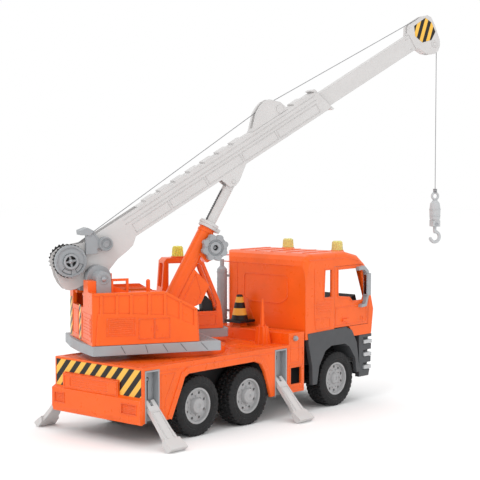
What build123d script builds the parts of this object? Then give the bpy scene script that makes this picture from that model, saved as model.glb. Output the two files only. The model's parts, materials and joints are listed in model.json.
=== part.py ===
from build123d import *
import os
from math import asin, atan2, cos, degrees, hypot, pi, radians, sin, tan

os.makedirs("parts", exist_ok=True)

# Toy crane truck, millimetres. X is forward, Y is to the left, Z is up and Z = 0 is the ground.
# The origin is on the ground under the slewing axis. The superstructure, the boom, the lift ram and the
# hanging hook are each drawn in a frame of their own and then placed at the resting pose.

# ---- driving dimensions ---------------------------------------------------------------------------
wheel_r = 37.5
tyre_width = 28.0
track_outer = 76.8                        # outer face of the tyres, from the centre plane
rear_axle_x = -39.5
middle_axle_x = 54.1
front_axle_x = 237.1
axle_r = 2.5
run_gap = 0.05                            # radial clearance of a turning fit
rim_r = 22.4

body_half = 77.8                          # half width of the chassis body and the cab
skin = 3.0                                # thickness of the moulded walls
deck_z = 95.0
skirt_z = 29.0
tail_x = -136.5                           # rear panel
bumper_x = -142.0
bumper_half = 78.4
step_x = 131.5                            # raised deck in front of the cone posts
step_z = 110.0
cab_rear_x = 166.0
cab_roof_z = 212.5
roof_round = 8.0                          # radius along the roof's sides
cab_front_x = 318.5

slew_deg = -27.66                         # resting angle of the superstructure about the slewing axis
platform_z = 103.0
platform_top = 115.0
ram_slot_half = 14.0
platform_half = 72.5
shell_half = 70.0
shell_left = 42.0
shell_top = 179.0
shell_deck = 175.0
shell_rear_x = -127.0
shell_front_x = 7.0
boom_slot_half = 12.0
strap_half = 9.2                          # half width of the straps over the boom's pivot

pivot = (-109.0, 194.0)                   # boom pivot, X and Z in the superstructure frame
boom_deg = 31.5                           # resting angle of the boom
boom_half = 10.5
boom_low = 14.5                           # underside of the boom above the pivot, across the boom
boom_high = 44.5
boom_end = 377.0
boom_end_low = 386.0
inner_half = 7.6
inner_low = 17.3
inner_high = 38.6
inner_rear = 350.0
head_rear = 537.0
drum_at = (-18.2, 35.1)
drum_r = 9.0
sheave_at = (561.3, 9.4)
sheave_r = 7.2
ram_eye = (217.0, 4.0)
ram_foot = (-21.4, 136.2)                 # open end of the lift ram, superstructure frame
rope_r = 0.5

rail_half = 12.0                          # half width of an outrigger's rail
button_x = 143.5                          # side button, pushed in towards the centre plane
button_z = 103.0
rail_low = 29.5
arch_z = 81.0                             # top of the double wheel arch
leg_length = 64.0
leg_deg = 42.0                            # resting angle of a leg from the vertical


# ---- small drawing helpers -------------------------------------------------------------------------
def block(x0, x1, y0, y1, z0, z1):
    """Box between six coordinates."""
    return Pos((x0 + x1) / 2, (y0 + y1) / 2, (z0 + z1) / 2) * Box(x1 - x0, y1 - y0, z1 - z0)


def rod_x(y, z, r, x0, x1):
    return Pos((x0 + x1) / 2, y, z) * Rot(0, 90, 0) * Cylinder(r, x1 - x0)


def rod_y(x, z, r, y0, y1):
    return Pos(x, (y0 + y1) / 2, z) * Rot(90, 0, 0) * Cylinder(r, y1 - y0)


def rod_z(x, y, r, z0, z1):
    return Pos(x, y, (z0 + z1) / 2) * Cylinder(r, z1 - z0)


def prism_y(points, y0, y1):
    """Outline of X, Z points, extruded from y0 to y1."""
    outline = make_face(Polyline(*[(x, y0, z) for x, z in points], close=True))
    return extrude(outline, amount=y1 - y0, dir=(0, 1, 0))


def prism_z(points, z0, z1):
    """Outline of X, Y points, extruded from z0 to z1."""
    outline = make_face(Polyline(*[(x, y, z0) for x, y in points], close=True))
    return extrude(outline, amount=z1 - z0, dir=(0, 0, 1))


def prism_x(points, x0, x1):
    """Outline of Y, Z points, extruded from x0 to x1."""
    outline = make_face(Polyline(*[(x0, y, z) for y, z in points], close=True))
    return extrude(outline, amount=x1 - x0, dir=(1, 0, 0))


def turned_z(points):
    """Radius, height points revolved about Z."""
    outline = make_face(Polyline(*[(r, 0, z) for r, z in points], close=True))
    return revolve(outline, Axis.Z)


def turned_y(points, x, z, side):
    """Radius, distance points revolved about an axis along Y; side -1 mirrors it to the right."""
    shape = turned_z(points)
    return Pos(x, 0, z) * Rot(-90 * side, 0, 0) * shape


def round_edges(shape, edges, radius):
    """Fillet that keeps the sharp shape where the radius does not fit."""
    try:
        return fillet(edges, radius)
    except Exception:
        return shape


def both_sides(shape):
    return shape + mirror(shape, about=Plane.XZ)


def save(name, shape):
    export_step(shape, f"parts/{name}.step")


def on_turntable(shape):
    return Rot(0, 0, slew_deg) * shape


def on_boom(shape):
    """From the boom frame (X along the boom, Z across it, origin on the pivot) to the row frame."""
    return on_turntable(Pos(pivot[0], 0, pivot[1]) * Rot(0, -boom_deg, 0) * shape)


def boom_point(u, v):
    """A boom-frame point in the superstructure frame."""
    a = radians(boom_deg)
    return pivot[0] + u * cos(a) - v * sin(a), pivot[1] + u * sin(a) + v * cos(a)


ram_top = boom_point(*ram_eye)
ram_deg = degrees(atan2(ram_top[0] - ram_foot[0], ram_top[1] - ram_foot[1]))
ram_length = hypot(ram_top[0] - ram_foot[0], ram_top[1] - ram_foot[1])
sheave_centre = boom_point(*sheave_at)
fall_x = sheave_centre[0] + sheave_r + rope_r


def on_ram(shape):
    """From the ram frame (origin on the rod eye, the barrel below it along -Z) to the row frame."""
    return on_turntable(Pos(ram_top[0], 0, ram_top[1]) * Rot(0, ram_deg, 0) * shape)


def on_fall(shape):
    """From the hanging frame (origin under the sheave, on the rope's line at ground level)."""
    return on_turntable(Pos(fall_x, 0, 0) * shape)


# ---- chassis body ------------------------------------------------------------------------------------
rail_x = {"rear": -120.5, "front": 115.0}
rail_top = {"rear": 91.5, "front": 91.5}

side_outline = [
    (tail_x, skirt_z), (-88.5, skirt_z), (-72.0, 63.0), (-66.0, 76.0), (-58.0, arch_z - 1), (62.0, arch_z),
    (74.0, 76.5), (81.0, 66.0), (94.0, 31.0), (cab_rear_x - 3.0, 31.0), (cab_rear_x - 3.0, deck_z),
    (tail_x, deck_z),
]


def side_panel():
    """One skirt with its double wheel arch, its two outrigger slots and the tool box opening."""
    panel = prism_y(side_outline, body_half - skin, body_half)
    for place, x in rail_x.items():
        panel -= block(x - rail_half, x + rail_half, body_half - 4, body_half + 1, 20, rail_top[place])
    panel -= block(135.5, 156.5, body_half - 4, body_half + 1, 42, 64)
    return panel


def make_chassis_body():
    body = both_sides(side_panel())
    body += block(tail_x, cab_rear_x - 3.0, -body_half, body_half, deck_z - skin, deck_z)
    body += block(tail_x, tail_x + skin, -body_half, body_half, skirt_z, deck_z)
    bumper = prism_y([(tail_x, 28), (bumper_x + 2, 28), (bumper_x, 34), (bumper_x, 57), (tail_x, 60)],
                     -bumper_half, bumper_half)
    for y0, y1 in ((-71.8, -47.7), (55.6, 72.9)):
        bumper -= block(bumper_x - 1, bumper_x + 1.2, y0, y1, 40, 51)
    body += bumper
    body += block(tail_x - 3.5, tail_x, -38.7, 60, 57, 76.5)
    body -= block(tail_x - 6, tail_x - 2.7, -21, 47, 61.5, 73)
    step = block(step_x, cab_rear_x - 3.0, -body_half, body_half, deck_z, step_z)
    step -= block(step_x + skin, cab_rear_x, -body_half + skin, body_half - skin, deck_z - 4, step_z - skin)
    body += step
    body -= rod_z(0, 0, 15 + run_gap, deck_z - 5, deck_z + 1)
    body -= rod_y(button_x, button_z, 3.4 + run_gap, -body_half - 1, -body_half + skin + 1)
    body -= rod_y(button_x, button_z, 4.9, -body_half + skin, -body_half + skin + 4)
    for x, y, z, tall, spike in ((117, -44, deck_z, 24, 36), (150, 26, step_z, 6, 24.5)):
        body += cone_post(x, y, z, tall, spike)
    return body


def cone_post(x, y, z, tall, spike):
    """Stepped post that a traffic cone is put on."""
    base = loft([Pos(x, y, z) * Rectangle(16, 16), Pos(x, y, z + tall) * Rectangle(11, 11)])
    return base + Pos(x, y, z + tall + spike / 2) * Cone(3.0, 1.2, spike)


# ---- chassis frame, axles, wheels ------------------------------------------------------------------
def make_chassis_frame():
    """Dark undertray: two inner walls, their cross members and the front axle carrier."""
    wall_out = 46.0
    wall = block(-130, 160, wall_out - 3, wall_out, 30, deck_z - skin - 0.2)
    frame = both_sides(wall)
    for x0, x1 in ((-130, -95), (-48, -31), (46, 62), (100, 160)):
        frame += block(x0, x1, -wall_out + 1, wall_out - 1, 30, 46)
    frame += block(158, 300, -40, 40, 30, 60)
    for x in (rear_axle_x, middle_axle_x, front_axle_x):
        frame -= rod_y(x, wheel_r, axle_r + run_gap, -60, 60)
    return frame


def make_axle_rod(x):
    return rod_y(x, wheel_r, axle_r, -track_outer + 8, track_outer - 8)


def rim_profile(hub_r, hub_out):
    """Half section of a rim: radius, distance from the centre plane."""
    out = track_outer
    return [
        (axle_r + 0.02, out - 24), (6, out - 24), (6, out - 10), (18.5, out - 10), (19.6, out - 24),
        (rim_r, out - 26), (rim_r, out - 2), (20.2, out - 2), (19.2, out - 6), (hub_r + 1.5, out - 6),
        (hub_r, hub_out), (axle_r + 0.02 + 2, hub_out + 1.2), (axle_r + 0.02, hub_out + 1.2),
    ]


def make_rim(x, side, front):
    """A rim with a ring of round holes and a ring of wheel nuts."""
    out = track_outer
    holes = 10 if front else 8
    hub_r = 7.0 if front else 9.0
    hub_out = out - 3.5 if front else out - 0.8
    rim = turned_y(rim_profile(hub_r, hub_out), x, wheel_r, side)
    rim = rim + turned_y([(0, out - 7.5), (hub_r - 1, out - 7.5), (hub_r - 1, hub_out + 0.5), (0, hub_out + 0.5)],
                         x, wheel_r, side)
    y0, y1 = sorted((side * (out - 12), side * (out + 2)))
    n0, n1 = sorted((side * (out - 6.5), side * (out - 4.8)))
    for i in range(holes):
        a = 2 * pi * (i + 0.5) / holes
        rim -= rod_y(x + 16.4 * cos(a), wheel_r + 16.4 * sin(a), 1.9, y0, y1)
        rim += rod_y(x + 12.2 * cos(a + pi / holes), wheel_r + 12.2 * sin(a + pi / holes), 0.9, n0, n1)
    return rim


def make_tyre(x, side):
    out = track_outer
    inner = out - tyre_width
    bead = rim_r + 0.05
    profile = [
        (bead, inner + 2), (bead + 3, inner), (wheel_r - 6, inner), (wheel_r - 1.5, inner + 2.5),
        (wheel_r, inner + 6), (wheel_r, out - 6), (wheel_r - 1.5, out - 2.5), (wheel_r - 6, out),
        (bead + 3, out), (bead, out - 2),
    ]
    return turned_y(profile, x, wheel_r, side)


# ---- truck cab -------------------------------------------------------------------------------------
cab_outline = [
    (cab_rear_x, 98), (cab_rear_x, 197), (cab_rear_x + 2, 204), (cab_rear_x + 7, 209.5),
    (cab_rear_x + 16, cab_roof_z), (256, cab_roof_z), (284, 206), (298, 196), (cab_front_x, 128), (314, 95),
    (298, 95), (298, 98),
]
cab_inner = [
    (cab_rear_x + skin, 96), (cab_rear_x + skin, 195), (cab_rear_x + 12, 202),
    (256, 204), (282, 201), (294.5, 194), (cab_front_x - 3.4, 127), (311, 92),
]
door_outline = [(229, 108.5), (229, 192.5), (291, 192.5), (306, 142), (305, 108.5)]
door_window = [(238, 152), (238, 188), (288, 188), (298, 150), (294, 143), (270, 143), (264, 149)]
rear_window = [(207, 152), (209, 189), (222.5, 189), (222.5, 152)]
beacon_x = 277.0
beacon_y = 45.0
beacon_z = 210.4                          # top of the pads under the cab's beacons


def make_cab_shell():
    cab = prism_y(cab_outline, -body_half, body_half)
    cab = round_edges(cab, [e for e in cab.edges() if abs(abs(e.center().Y) - body_half) < 0.01
                            and e.center().Z > 198], roof_round)
    cab = round_edges(cab, [e for e in cab.edges() if abs(e.center().Y + body_half) < 0.01
                            and abs(e.center().X - cab_rear_x) < 0.01], roof_round)
    for y in (-beacon_y, beacon_y):
        cab += rod_z(beacon_x, y, 9.6, 204, beacon_z)
    cab -= prism_y(cab_inner, -body_half + skin, body_half - skin)
    cab -= prism_y(rear_window, -body_half - 1, body_half + 1)
    gap = 0.4
    swing_gap = 1.0
    grown = [(x + (swing_gap if x > 260 else -gap), z + (gap if z > 150 else -gap)) for x, z in door_outline]
    grown[0] = (door_outline[0][0] - gap, 90)
    grown[-1] = (door_outline[-1][0] + swing_gap, 90)
    cab -= prism_y(grown, body_half - skin - 1, body_half + 1)
    cab -= prism_y(grown, -body_half - 1, -body_half + skin + 1)
    cab -= prism_z([(cab_rear_x - 1, 59), (cab_rear_x, 59), (cab_rear_x + 19, body_half), (cab_rear_x + 19, 90),
                    (cab_rear_x - 1, 90)], 90, 220)
    corner = prism_z([(cab_rear_x + 0.1, 55), (cab_rear_x + 0.1, 59.1), (cab_rear_x + 18.9, body_half),
                      (cab_rear_x + 24, body_half), (cab_rear_x + 3, 55)], 98, 203.5)
    cab += corner & prism_y(cab_outline, -body_half, body_half)
    cab += both_sides(prism_y([(262, 107.9), (312, 107.9), (313.5, 95.5), (313.5, 93.4), (274.2, 93.4),
                               (271.6, 97.7)], body_half - skin, body_half))
    windscreen = prism_x([(-66, 134), (-62, 190), (62, 190), (66, 134)], 280, 330)
    cab -= windscreen
    return cab


def make_cab_interior():
    """Dark moulding with the floor, two seats and the dashboard."""
    inside = body_half - skin - 0.3
    floor = block(176, 305, -60, 60, 98.5, 102)
    for y in (-38, 38):
        floor += block(200, 236, y - 20, y + 20, 101, 122)
        floor += prism_y([(190, 101), (197, 158), (206, 158), (212, 101)], y - 20, y + 20)
    floor += prism_y([(268, 101), (272, 138), (296, 149), (300, 138), (300, 101)], -inside + 12, inside - 12)
    return floor


def make_steering_wheel():
    wheel = Torus(12, 1.6) + Cylinder(3, 2.4)
    for a in (0, 120, 240):
        wheel += Rot(0, 0, a) * (Pos(6.5, 0, 0) * Box(11, 2, 1.6))
    wheel += Pos(0, 0, -9) * Cylinder(2, 16)
    return Pos(259, 38, 150) * Rot(0, -55, 0) * wheel


def make_door(side):
    """A door leaf with its window, a handle and the hinge knuckle at its front edge."""
    leaf = prism_y(door_outline, body_half - skin, body_half)
    leaf -= prism_y(door_window, body_half - skin - 1, body_half + 1)
    leaf += block(246, 260, body_half - 0.5, body_half + 0.9, 116, 119)
    return leaf if side > 0 else mirror(leaf, about=Plane.XZ)


def make_mirror(side):
    """C-shaped bracket that carries the mirror housing."""
    y0 = body_half
    arm = [(277, 190), (290, 191), (299, 184), (301, 176), (296, 176), (293, 183), (288, 186), (277, 185)]
    bracket = prism_y(arm, y0, y0 + 6)
    bracket += block(293.5, 302, y0 + 1, y0 + 8, 149, 180)
    bracket += prism_y([(296, 152), (301, 152), (295, 134), (283, 133), (283, 137), (292, 138)], y0, y0 + 6)
    return bracket if side > 0 else mirror(bracket, about=Plane.XZ)


def make_front_fenders():
    """Dark arches over the front wheels, one each side."""
    outline = [
        (170.5, 106), (254, 108), (268, 102), (279, 84), (286, 42), (279, 42), (276, 62), (262, 80), (252, 85),
        (221, 85), (208, 79), (195, 60), (190, 36), (181, 36), (180, 60), (172, 92),
    ]
    arch = prism_y(outline, body_half - 5.2, body_half + 0.8)
    arch -= prism_y([(165, 97.5), (165, 120), (330, 120), (330, 94.5), (297, 94.5), (297, 97.5)],
                    body_half - 8, body_half + 0.05)
    arch += prism_y([(221, 85.2), (252, 85.2), (262, 80.2), (276, 62), (279, 62), (264, 84), (252, 89),
                     (221, 89), (206, 83), (192, 60), (195, 60), (208, 79.2)], 47, body_half - 5)
    return both_sides(arch)


def make_bumper():
    outline = [(287, 34), (309, 34), (314, 50), (316, 93), (287, 93)]
    bumper = prism_y(outline, -body_half + 1, body_half - 1)
    bumper -= block(280, 306, -70, 70, 30, 90)
    for z in (48, 66, 84):
        bumper -= block(296, 330, body_half - 7, body_half + 1, z - 5, z + 5)
        bumper -= block(296, 330, -body_half - 1, -body_half + 7, z - 5, z + 5)
    bumper -= block(306, 330, -64, -38, 50, 66)
    bumper -= block(306, 330, 38, 64, 50, 66)
    return bumper


def make_lamp_steps():
    """Light grey steps at the bumper's corners and the two headlamp lenses."""
    y0 = body_half - 7
    steps = None
    for z in (48, 66, 84):
        step = block(297, 313 + (z - 48) * 0.05, y0, body_half + 0.6, z - 4, z + 1)
        steps = step if steps is None else steps + step
    steps += block(308, 312, 39, 63, 51, 65)
    return both_sides(steps)


def make_grille():
    plate = prism_y([(cab_front_x - 2.0, 128), (cab_front_x + 2.5, 128), (cab_front_x + 1.5, 97), (315.5, 97)],
                    -62, 62)
    plate -= prism_y(cab_outline, -70, 70)
    for z in (103, 110, 117, 124):
        plate -= block(310, 330, -54, 54, z - 1.6, z + 1.6)
    return plate


def make_beacon(x, y, z, r, tall):
    """Round lens on a low collar."""
    collar = [(0, 0), (r, 0), (r, 2.5), (r - 0.8, 2.5)]
    lens = turned_z([*collar, (r - 1.5, tall - 1.5), (r - 2.6, tall), (0, tall)])
    return Pos(x, y, z) * lens


def make_exhaust():
    """Silenced stack beside the cab, with its two clips."""
    x, y = 160.5, 68.5
    stack = rod_z(x, y, 7.0, step_z + 0.1, 186) + rod_z(x, y, 2.9, 186, 200)
    stack += Pos(x, y, 188) * Cone(7.0, 3.5, 4)
    for z in (128, 177):
        clip = Pos(x, y, z) * Rot(0, 0, -50) * block(0, 15.5, -2.2, 2.2, -1.6, 1.6)
        stack += clip - block(cab_rear_x - 0.05, 200, 0, 90, 90, 210)
    return stack


def make_side_button():
    button = rod_y(button_x, button_z, 3.4, -body_half - 3.0, -body_half + skin + 0.2)
    button += Pos(button_x, -body_half - 3.0, button_z) * Sphere(2.6)
    return button + rod_y(button_x, button_z, 4.4, -body_half + skin + 0.1, -body_half + skin + 1.6)


# ---- outriggers --------------------------------------------------------------------------------------
leg_pivot_y = 73.2
leg_pivot_z = 50.5


def make_rail(x, side):
    """Grey channel with a screw hole and the slot that the leg's pin runs in."""
    z1 = 91.3
    width = rail_half - 0.1
    rail = block(x - width, x + width, 66.0, body_half + 0.3, rail_low, z1)
    rail -= block(x - width + 2, x + width - 2, 68.5, body_half + 1, rail_low - 1, z1 - 2)
    rail -= block(x - 1.8, x + 1.8, 65, 70, 44, 80)
    return rail if side > 0 else mirror(rail, about=Plane.XZ)


def make_leg_pin(x, side):
    pin = rod_y(x, leg_pivot_z, 1.7, 64.0, 69.2) + rod_y(x, leg_pivot_z, 4, 62.5, 64.0)
    pin += rod_x(leg_pivot_y, leg_pivot_z, 1.6, x - 7.6, x + 7.6)
    pin += block(x - 1.7, x + 1.7, 68.7, leg_pivot_y, leg_pivot_z - 1.6, leg_pivot_z + 1.6)
    return pin if side > 0 else mirror(pin, about=Plane.XZ)


def make_leg(x, side):
    """White leg that flares into a curved foot; drawn hanging from its pin and then swung outwards."""
    reach = leg_length
    half = 8.0
    flare = 14.0
    outline = [(-half, 4), (half, 4), (half + 1, -reach + 26), (half + 3, -reach + 12), (flare, -reach + 3),
               (flare, -reach - 3), (-flare, -reach - 3), (-flare, -reach + 3), (-half - 3, -reach + 12),
               (-half - 1, -reach + 26)]
    plate = prism_y(outline, -2.6, 2.6)
    plate -= block(-2.2, 2.2, -4, 4, -4.2, 5)
    plate -= rod_x(0, 0, 1.6 + run_gap, -20, 20)
    plate += prism_x([(-2.6, -reach + 10), (2.6, -reach + 14), (5.5, -reach + 3), (6.5, -reach - 3),
                      (-3, -reach - 3)], -flare, flare)
    leg = Rot(leg_deg, 0, 0) * plate
    leg = Pos(x, leg_pivot_y, leg_pivot_z) * leg
    leg -= block(x - 30, x + 30, 0, 200, -50, 0)
    return leg if side > 0 else mirror(leg, about=Plane.XZ)


# ---- superstructure ----------------------------------------------------------------------------------
def make_platform():
    """Slewing platform with its hub, which turns in the deck."""
    outline = [
        (-128.5, -platform_half), (34, -platform_half), (34, 44), (37, 47), (86, 47), (88, 49),
        (88, platform_half), (-128.5, platform_half), (-134, 21), (-134, -21),
    ]
    plate = prism_z(outline, platform_z, platform_top)
    plate = round_edges(plate, plate.edges().group_by(Axis.Z)[-1], 1.2)
    hub = rod_z(0, 0, 15, deck_z - 6.5, platform_z) + rod_z(0, 0, 21, deck_z - 8.5, deck_z - 3.2)
    plate += hub
    for side in (-1, 1):
        ear = prism_y([(-31, platform_top - 1), (-13, platform_top - 1), (-16, 141), (-27, 141)],
                      *sorted((side * 13.0, side * 16.5)))
        plate += ear
        plate += rod_y(ram_foot[0], ram_foot[1], 2.5, *sorted((side * 10.6, side * 13.5)))
    return plate


def make_turntable_ring():
    return rod_z(0, 0, 62, deck_z, platform_z - 0.3) - rod_z(0, 0, 52, deck_z - 1, platform_z)


def make_superstructure_shell():
    """Orange engine housing: walls, top deck with the boom slot, bracket towers and handrails."""
    side = [(shell_rear_x, platform_top), (shell_front_x, platform_top), (shell_front_x - 2.5, 154),
            (-38, shell_top), (shell_rear_x, shell_top)]
    low = platform_top + 0.05
    right = prism_y(side, -shell_half, -shell_half + skin)
    left = prism_y(side, shell_left - skin, shell_left)
    shell = right + left
    rear = block(shell_rear_x - 2, shell_rear_x + skin, -shell_half, shell_left, platform_top, shell_top)
    rear -= block(shell_rear_x - 5, shell_rear_x + 5, -26, 26, 158, 200)
    rear -= block(shell_rear_x - 5, shell_rear_x + 5, -28.6, 28.6, shell_deck, 200)
    shell += rear
    top = prism_y([(shell_rear_x, shell_deck - skin), (-32, shell_deck - skin), (4.5, 151), (4.5, 154),
                   (-32, shell_deck), (shell_rear_x, shell_deck)], -shell_half, shell_left)
    top -= block(shell_rear_x - 5, 20, -ram_slot_half, ram_slot_half, 140, 200)
    shell += top
    front = prism_y([(shell_front_x - skin, platform_top), (shell_front_x, platform_top),
                     (shell_front_x - 2.5, 154), (shell_front_x - 5.5, 152)], -shell_half, shell_left)
    front -= block(-10, 20, -ram_slot_half, ram_slot_half, platform_top - 1, 200)
    shell += front
    for y0, y1 in ((-50, -28.5), (28.5, shell_left)):
        shell += block(shell_rear_x - 2, -97, y0, y1, shell_deck - 1, 192)
        notch_half = strap_half + 0.3
        shell -= block(pivot[0] - notch_half, pivot[0] + notch_half, y0 - 1, y1 + 1, shell_deck, 193)
    for y in (-42.5, 36.5):
        shell += block(-97.5, -76, y - 1.5, y + 1.5, 190.5, 193.5)
        shell += block(-79, -76, y - 1.5, y + 1.5, shell_deck - 1, 193.5)
        web = [(-97.5, shell_deck - 1), (-78, shell_deck - 1), (-78, 178), (-97.5, 186)]
        shell += prism_y(web, y - 1, y + 1)
    shell += rod_z(-50, -40, 2.6, shell_deck - 1, 189) + Pos(-50, -40, 189) * Sphere(2.6)
    shell -= block(-200, 200, -100, 100, platform_top - 5, low)
    return shell


def make_pivot_brackets():
    """Two grey bearing blocks for the boom pivot, one each side of the boom."""
    x, z = pivot
    brackets = []
    for side, y_out in ((-1, 50.0), (1, shell_left)):
        bracket = rod_y(x, z, 15.0, boom_slot_half - 0.9, 28.2)
        bracket += block(x - 15, x + 15, boom_slot_half - 0.9, 28.2, shell_deck - 8, z)
        bracket -= block(x - 20, x + 20, 0, ram_slot_half + 0.1, 100, shell_deck + 0.1)
        bracket -= block(x - 20, x + 20, 0, 40, 100, shell_deck + 0.05)
        bracket += block(x - strap_half, x + strap_half, 20, y_out, shell_deck + 0.05, z)
        bracket += rod_y(x, z, strap_half, 20, y_out)
        bracket -= rod_y(x, z, 3.0, 0, 60)
        brackets.append(bracket if side > 0 else mirror(bracket, about=Plane.XZ))
    return Compound(brackets)


def make_pivot_pin():
    return rod_y(pivot[0], pivot[1], 2.98, -51.2, shell_left + 1.2)


cab_x0, cab_x1 = -6.0, 79.0
op_y0, op_y1 = 46.5, 71.5


def make_operator_cab():
    """Open frame cab: pillars, roof and sill."""
    outline = [(cab_x0, platform_top + 0.05), (cab_x0 + 1, 168), (cab_x0 + 4, 206), (cab_x0 + 8, 210),
               (47, 210), (52, 206), (76, 150), (cab_x1, 135), (cab_x1 + 1, platform_top + 0.05)]
    cab = prism_y(outline, op_y0, op_y1)
    cab -= prism_y([(cab_x0 + 3, 118), (cab_x0 + 4, 168), (cab_x0 + 8, 207), (47, 207), (72, 148), (76, 118)],
                   op_y0 + 2.5, op_y1 - 2.5)
    opening = [(4, 138), (4, 203), (44, 203), (49, 200), (70, 148), (70, 138)]
    cab -= prism_y(opening, op_y0 - 1, op_y1 + 1)
    cab -= block(cab_x0 - 5, 20, op_y0 + 5, op_y1 - 5, 172, 203)
    cab -= prism_x([(op_y0 + 5, 142), (op_y0 + 5, 200), (op_y1 - 5, 200), (op_y1 - 5, 142)], 40, 90)
    return cab


def make_operator_seat():
    seat = block(22, 48, 52, 66, 118.2, 140) + prism_y([(18, 118.2), (16, 172), (22, 174), (27, 118.2)], 52, 66)
    return seat + prism_y([(55, 118.2), (52, 150), (58, 158), (66, 150), (70, 118.2)], 52, 66)


# ---- boom --------------------------------------------------------------------------------------------
def make_outer_boom():
    """Box boom; behind the top plate it opens into two cheeks that hold the winch drum."""
    outline = [
        (-19, -0.5), (-29, 0.5), (-36, 3), (-40.5, 7), (-42, 16), (-41, 27), (-38.6, 34), (-36, 44), (-28, 51),
        (-18, 52.5), (-6, 50), (8, boom_high), (boom_end, boom_high), (boom_end_low, boom_low),
        (70, boom_low), (61, 7), (52, 5), (35, 3), (20, -2), (12, -10), (0, -13), (-12, -10),
    ]
    wall = 2.4
    boom = prism_y(outline, -boom_half, boom_half)
    boom -= prism_y([(-60, -20), (-60, 70), (60, 70), (92, boom_high + 4), (92, 28), (60, 20), (40, 16), (15, 16),
                     (-9, 14), (-16, -20)], -boom_half + wall, boom_half - wall)
    bore = (-inner_half - 0.5, inner_half + 0.5, inner_low - 0.4, inner_high + 0.4)
    boom -= block(200, boom_end_low + 1, *bore)
    boom -= block(95, 197, -boom_half + wall, boom_half - wall, boom_low + wall, boom_high - wall)
    for u in (104, 127, 150, 173, 196, 219, 242, 340):
        boom += block(u, u + 15, -boom_half, boom_half, boom_high - 0.5, boom_high + 2.0)
    slant = (boom_end_low - boom_end) / (boom_high - boom_low)
    lip = prism_y([(boom_end - 3, boom_high - 0.5), (boom_end + 0.5, boom_high - 0.5),
                   (boom_end - 3 * slant, boom_high + 3), (boom_end - 6, boom_high + 3)],
                  -boom_half - 1, boom_half + 1)
    lip += prism_y([(boom_end_low - 4, boom_low + 0.5), (boom_end_low, boom_low + 0.5),
                    (boom_end_low + 3 * slant, boom_low - 3), (boom_end_low - 2, boom_low - 3)],
                   -boom_half - 1, boom_half + 1)
    boom += lip
    eye_u, eye_v = ram_eye
    for y0, y1 in ((-boom_half, -7.4), (7.4, boom_half)):
        boom += prism_y([(eye_u - 13, boom_low + 1), (eye_u - 8, eye_v - 3), (eye_u, eye_v - 6),
                         (eye_u + 8, eye_v - 3), (eye_u + 28, boom_low + 1)], y0, y1)
    boom += rod_y(eye_u, eye_v, 2.5, -boom_half - 0.8, boom_half + 0.8)
    boom -= rod_y(0, 0, 2.98 + run_gap, -20, 20)
    boom -= rod_y(*drum_at, 3.0 + run_gap, -20, 20)
    return boom


guide_at = (321.0, 50.4)
guide_rope = (310.5, 63.3)


def make_rope_guide():
    """Two ears on the boom's back with a roller boss, and the eye that the rope is led through."""
    outline = [(273, 0.05), (291, 18), (300, 22.5), (307, 24.5), (315, 24), (326, 13.5), (331, 0.05)]
    guide = prism_y([(u, boom_high + v) for u, v in outline], -boom_half + 0.5, boom_half - 0.5)
    guide -= prism_y([(262, boom_high + 3), (262, 80), (340, 80), (340, boom_high + 3)], -4, 4)
    u, v = guide_at
    guide += rod_y(u, v, 5.2, -boom_half - 0.2, boom_half + 0.2)
    guide += rod_y(guide_rope[0], guide_rope[1] - 4.6, 4, -5, 5)
    return guide


ring_y = (-16.0, -11.0)                   # toothed ring, between the boom's cheek and the crank disc


def make_winch_drum():
    """Spool with its axle and the toothed ratchet ring on the right."""
    u, v = drum_at
    inside = boom_half - 2.4 - 0.4
    drum = rod_y(u, v, drum_r, -inside, inside)
    for y0, y1 in ((-inside, -inside + 1.5), (inside - 1.5, inside)):
        drum += rod_y(u, v, 13, y0, y1)
    drum += rod_y(u, v, 3.0, -boom_half - 0.6, boom_half + 0.4)
    drum += rod_y(u, v, 19.8, *ring_y)
    for i in range(28):
        a = 2 * pi * i / 28
        drum += rod_y(u + 19.8 * cos(a), v + 19.8 * sin(a), 1.2, *ring_y)
    return drum


def make_winch_disc():
    """Grey crank disc with a recessed hub."""
    u, v = drum_at
    disc = rod_y(u, v, 19.8, -23.0, -16.05)
    disc -= rod_y(u, v, 17.0, -25, -21.2)
    disc += rod_y(u, v, 9.5, -24.0, -21.3)
    disc -= rod_y(u, v, 6.8, -26, -18.6)
    disc += rod_y(u, v, 3.0, -22.0, -18)
    for a in (20, 110, 200, 290):
        disc += Pos(u, 0, v) * Rot(0, a, 0) * block(2, 7.4, -21.6, -18.3, -1.2, 1.2)
    return disc


def make_winch_hub():
    """Dark cap at the far end of the winch axle."""
    u, v = drum_at
    return rod_y(u, v, 14, boom_half + 0.45, boom_half + 4) + rod_y(u, v, 8, boom_half + 3.9, boom_half + 6)


lever_at = (30.9, 28.7)


def make_ratchet_lever():
    """Ratchet lever: round hub, flat body towards the toothed ring and a thumb tab on top."""
    u, v = lever_at
    inner = -boom_half - 0.3
    lever = rod_y(u, v, 8.9, -19.0, inner)
    lever -= rod_y(u, v, 6.6, -20, -17.8)
    lever += rod_y(u, v, 4.2, -19.0, -17)
    lever += prism_y([(16, 52), (26.7, 49.5), (27.5, 37), (24, 27), (15, 25), (2.6, 31), (9, 40)], -16.5, inner)
    lever += prism_y([(10, 55), (12.5, 60), (22.4, 58), (27, 50.5), (20, 48), (16, 51)], -18, inner)
    lever += prism_y([(10, 55), (12.5, 60), (22.4, 58), (27, 50.5), (24, 48)], inner - 0.1, 4)
    lever -= block(-10, 40, -boom_half - 0.25, 12, 40, boom_high + 9.8) & prism_y(
        [(-10, 40), (-10, 53.5), (8, 53.5), (60, 47), (60, 40)], -boom_half - 0.25, 12)
    lever -= rod_y(u - 11, v - 2, 2.2, -20, inner + 1)
    lever -= rod_y(*drum_at, 21.6, -26, -5)
    return lever


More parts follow.
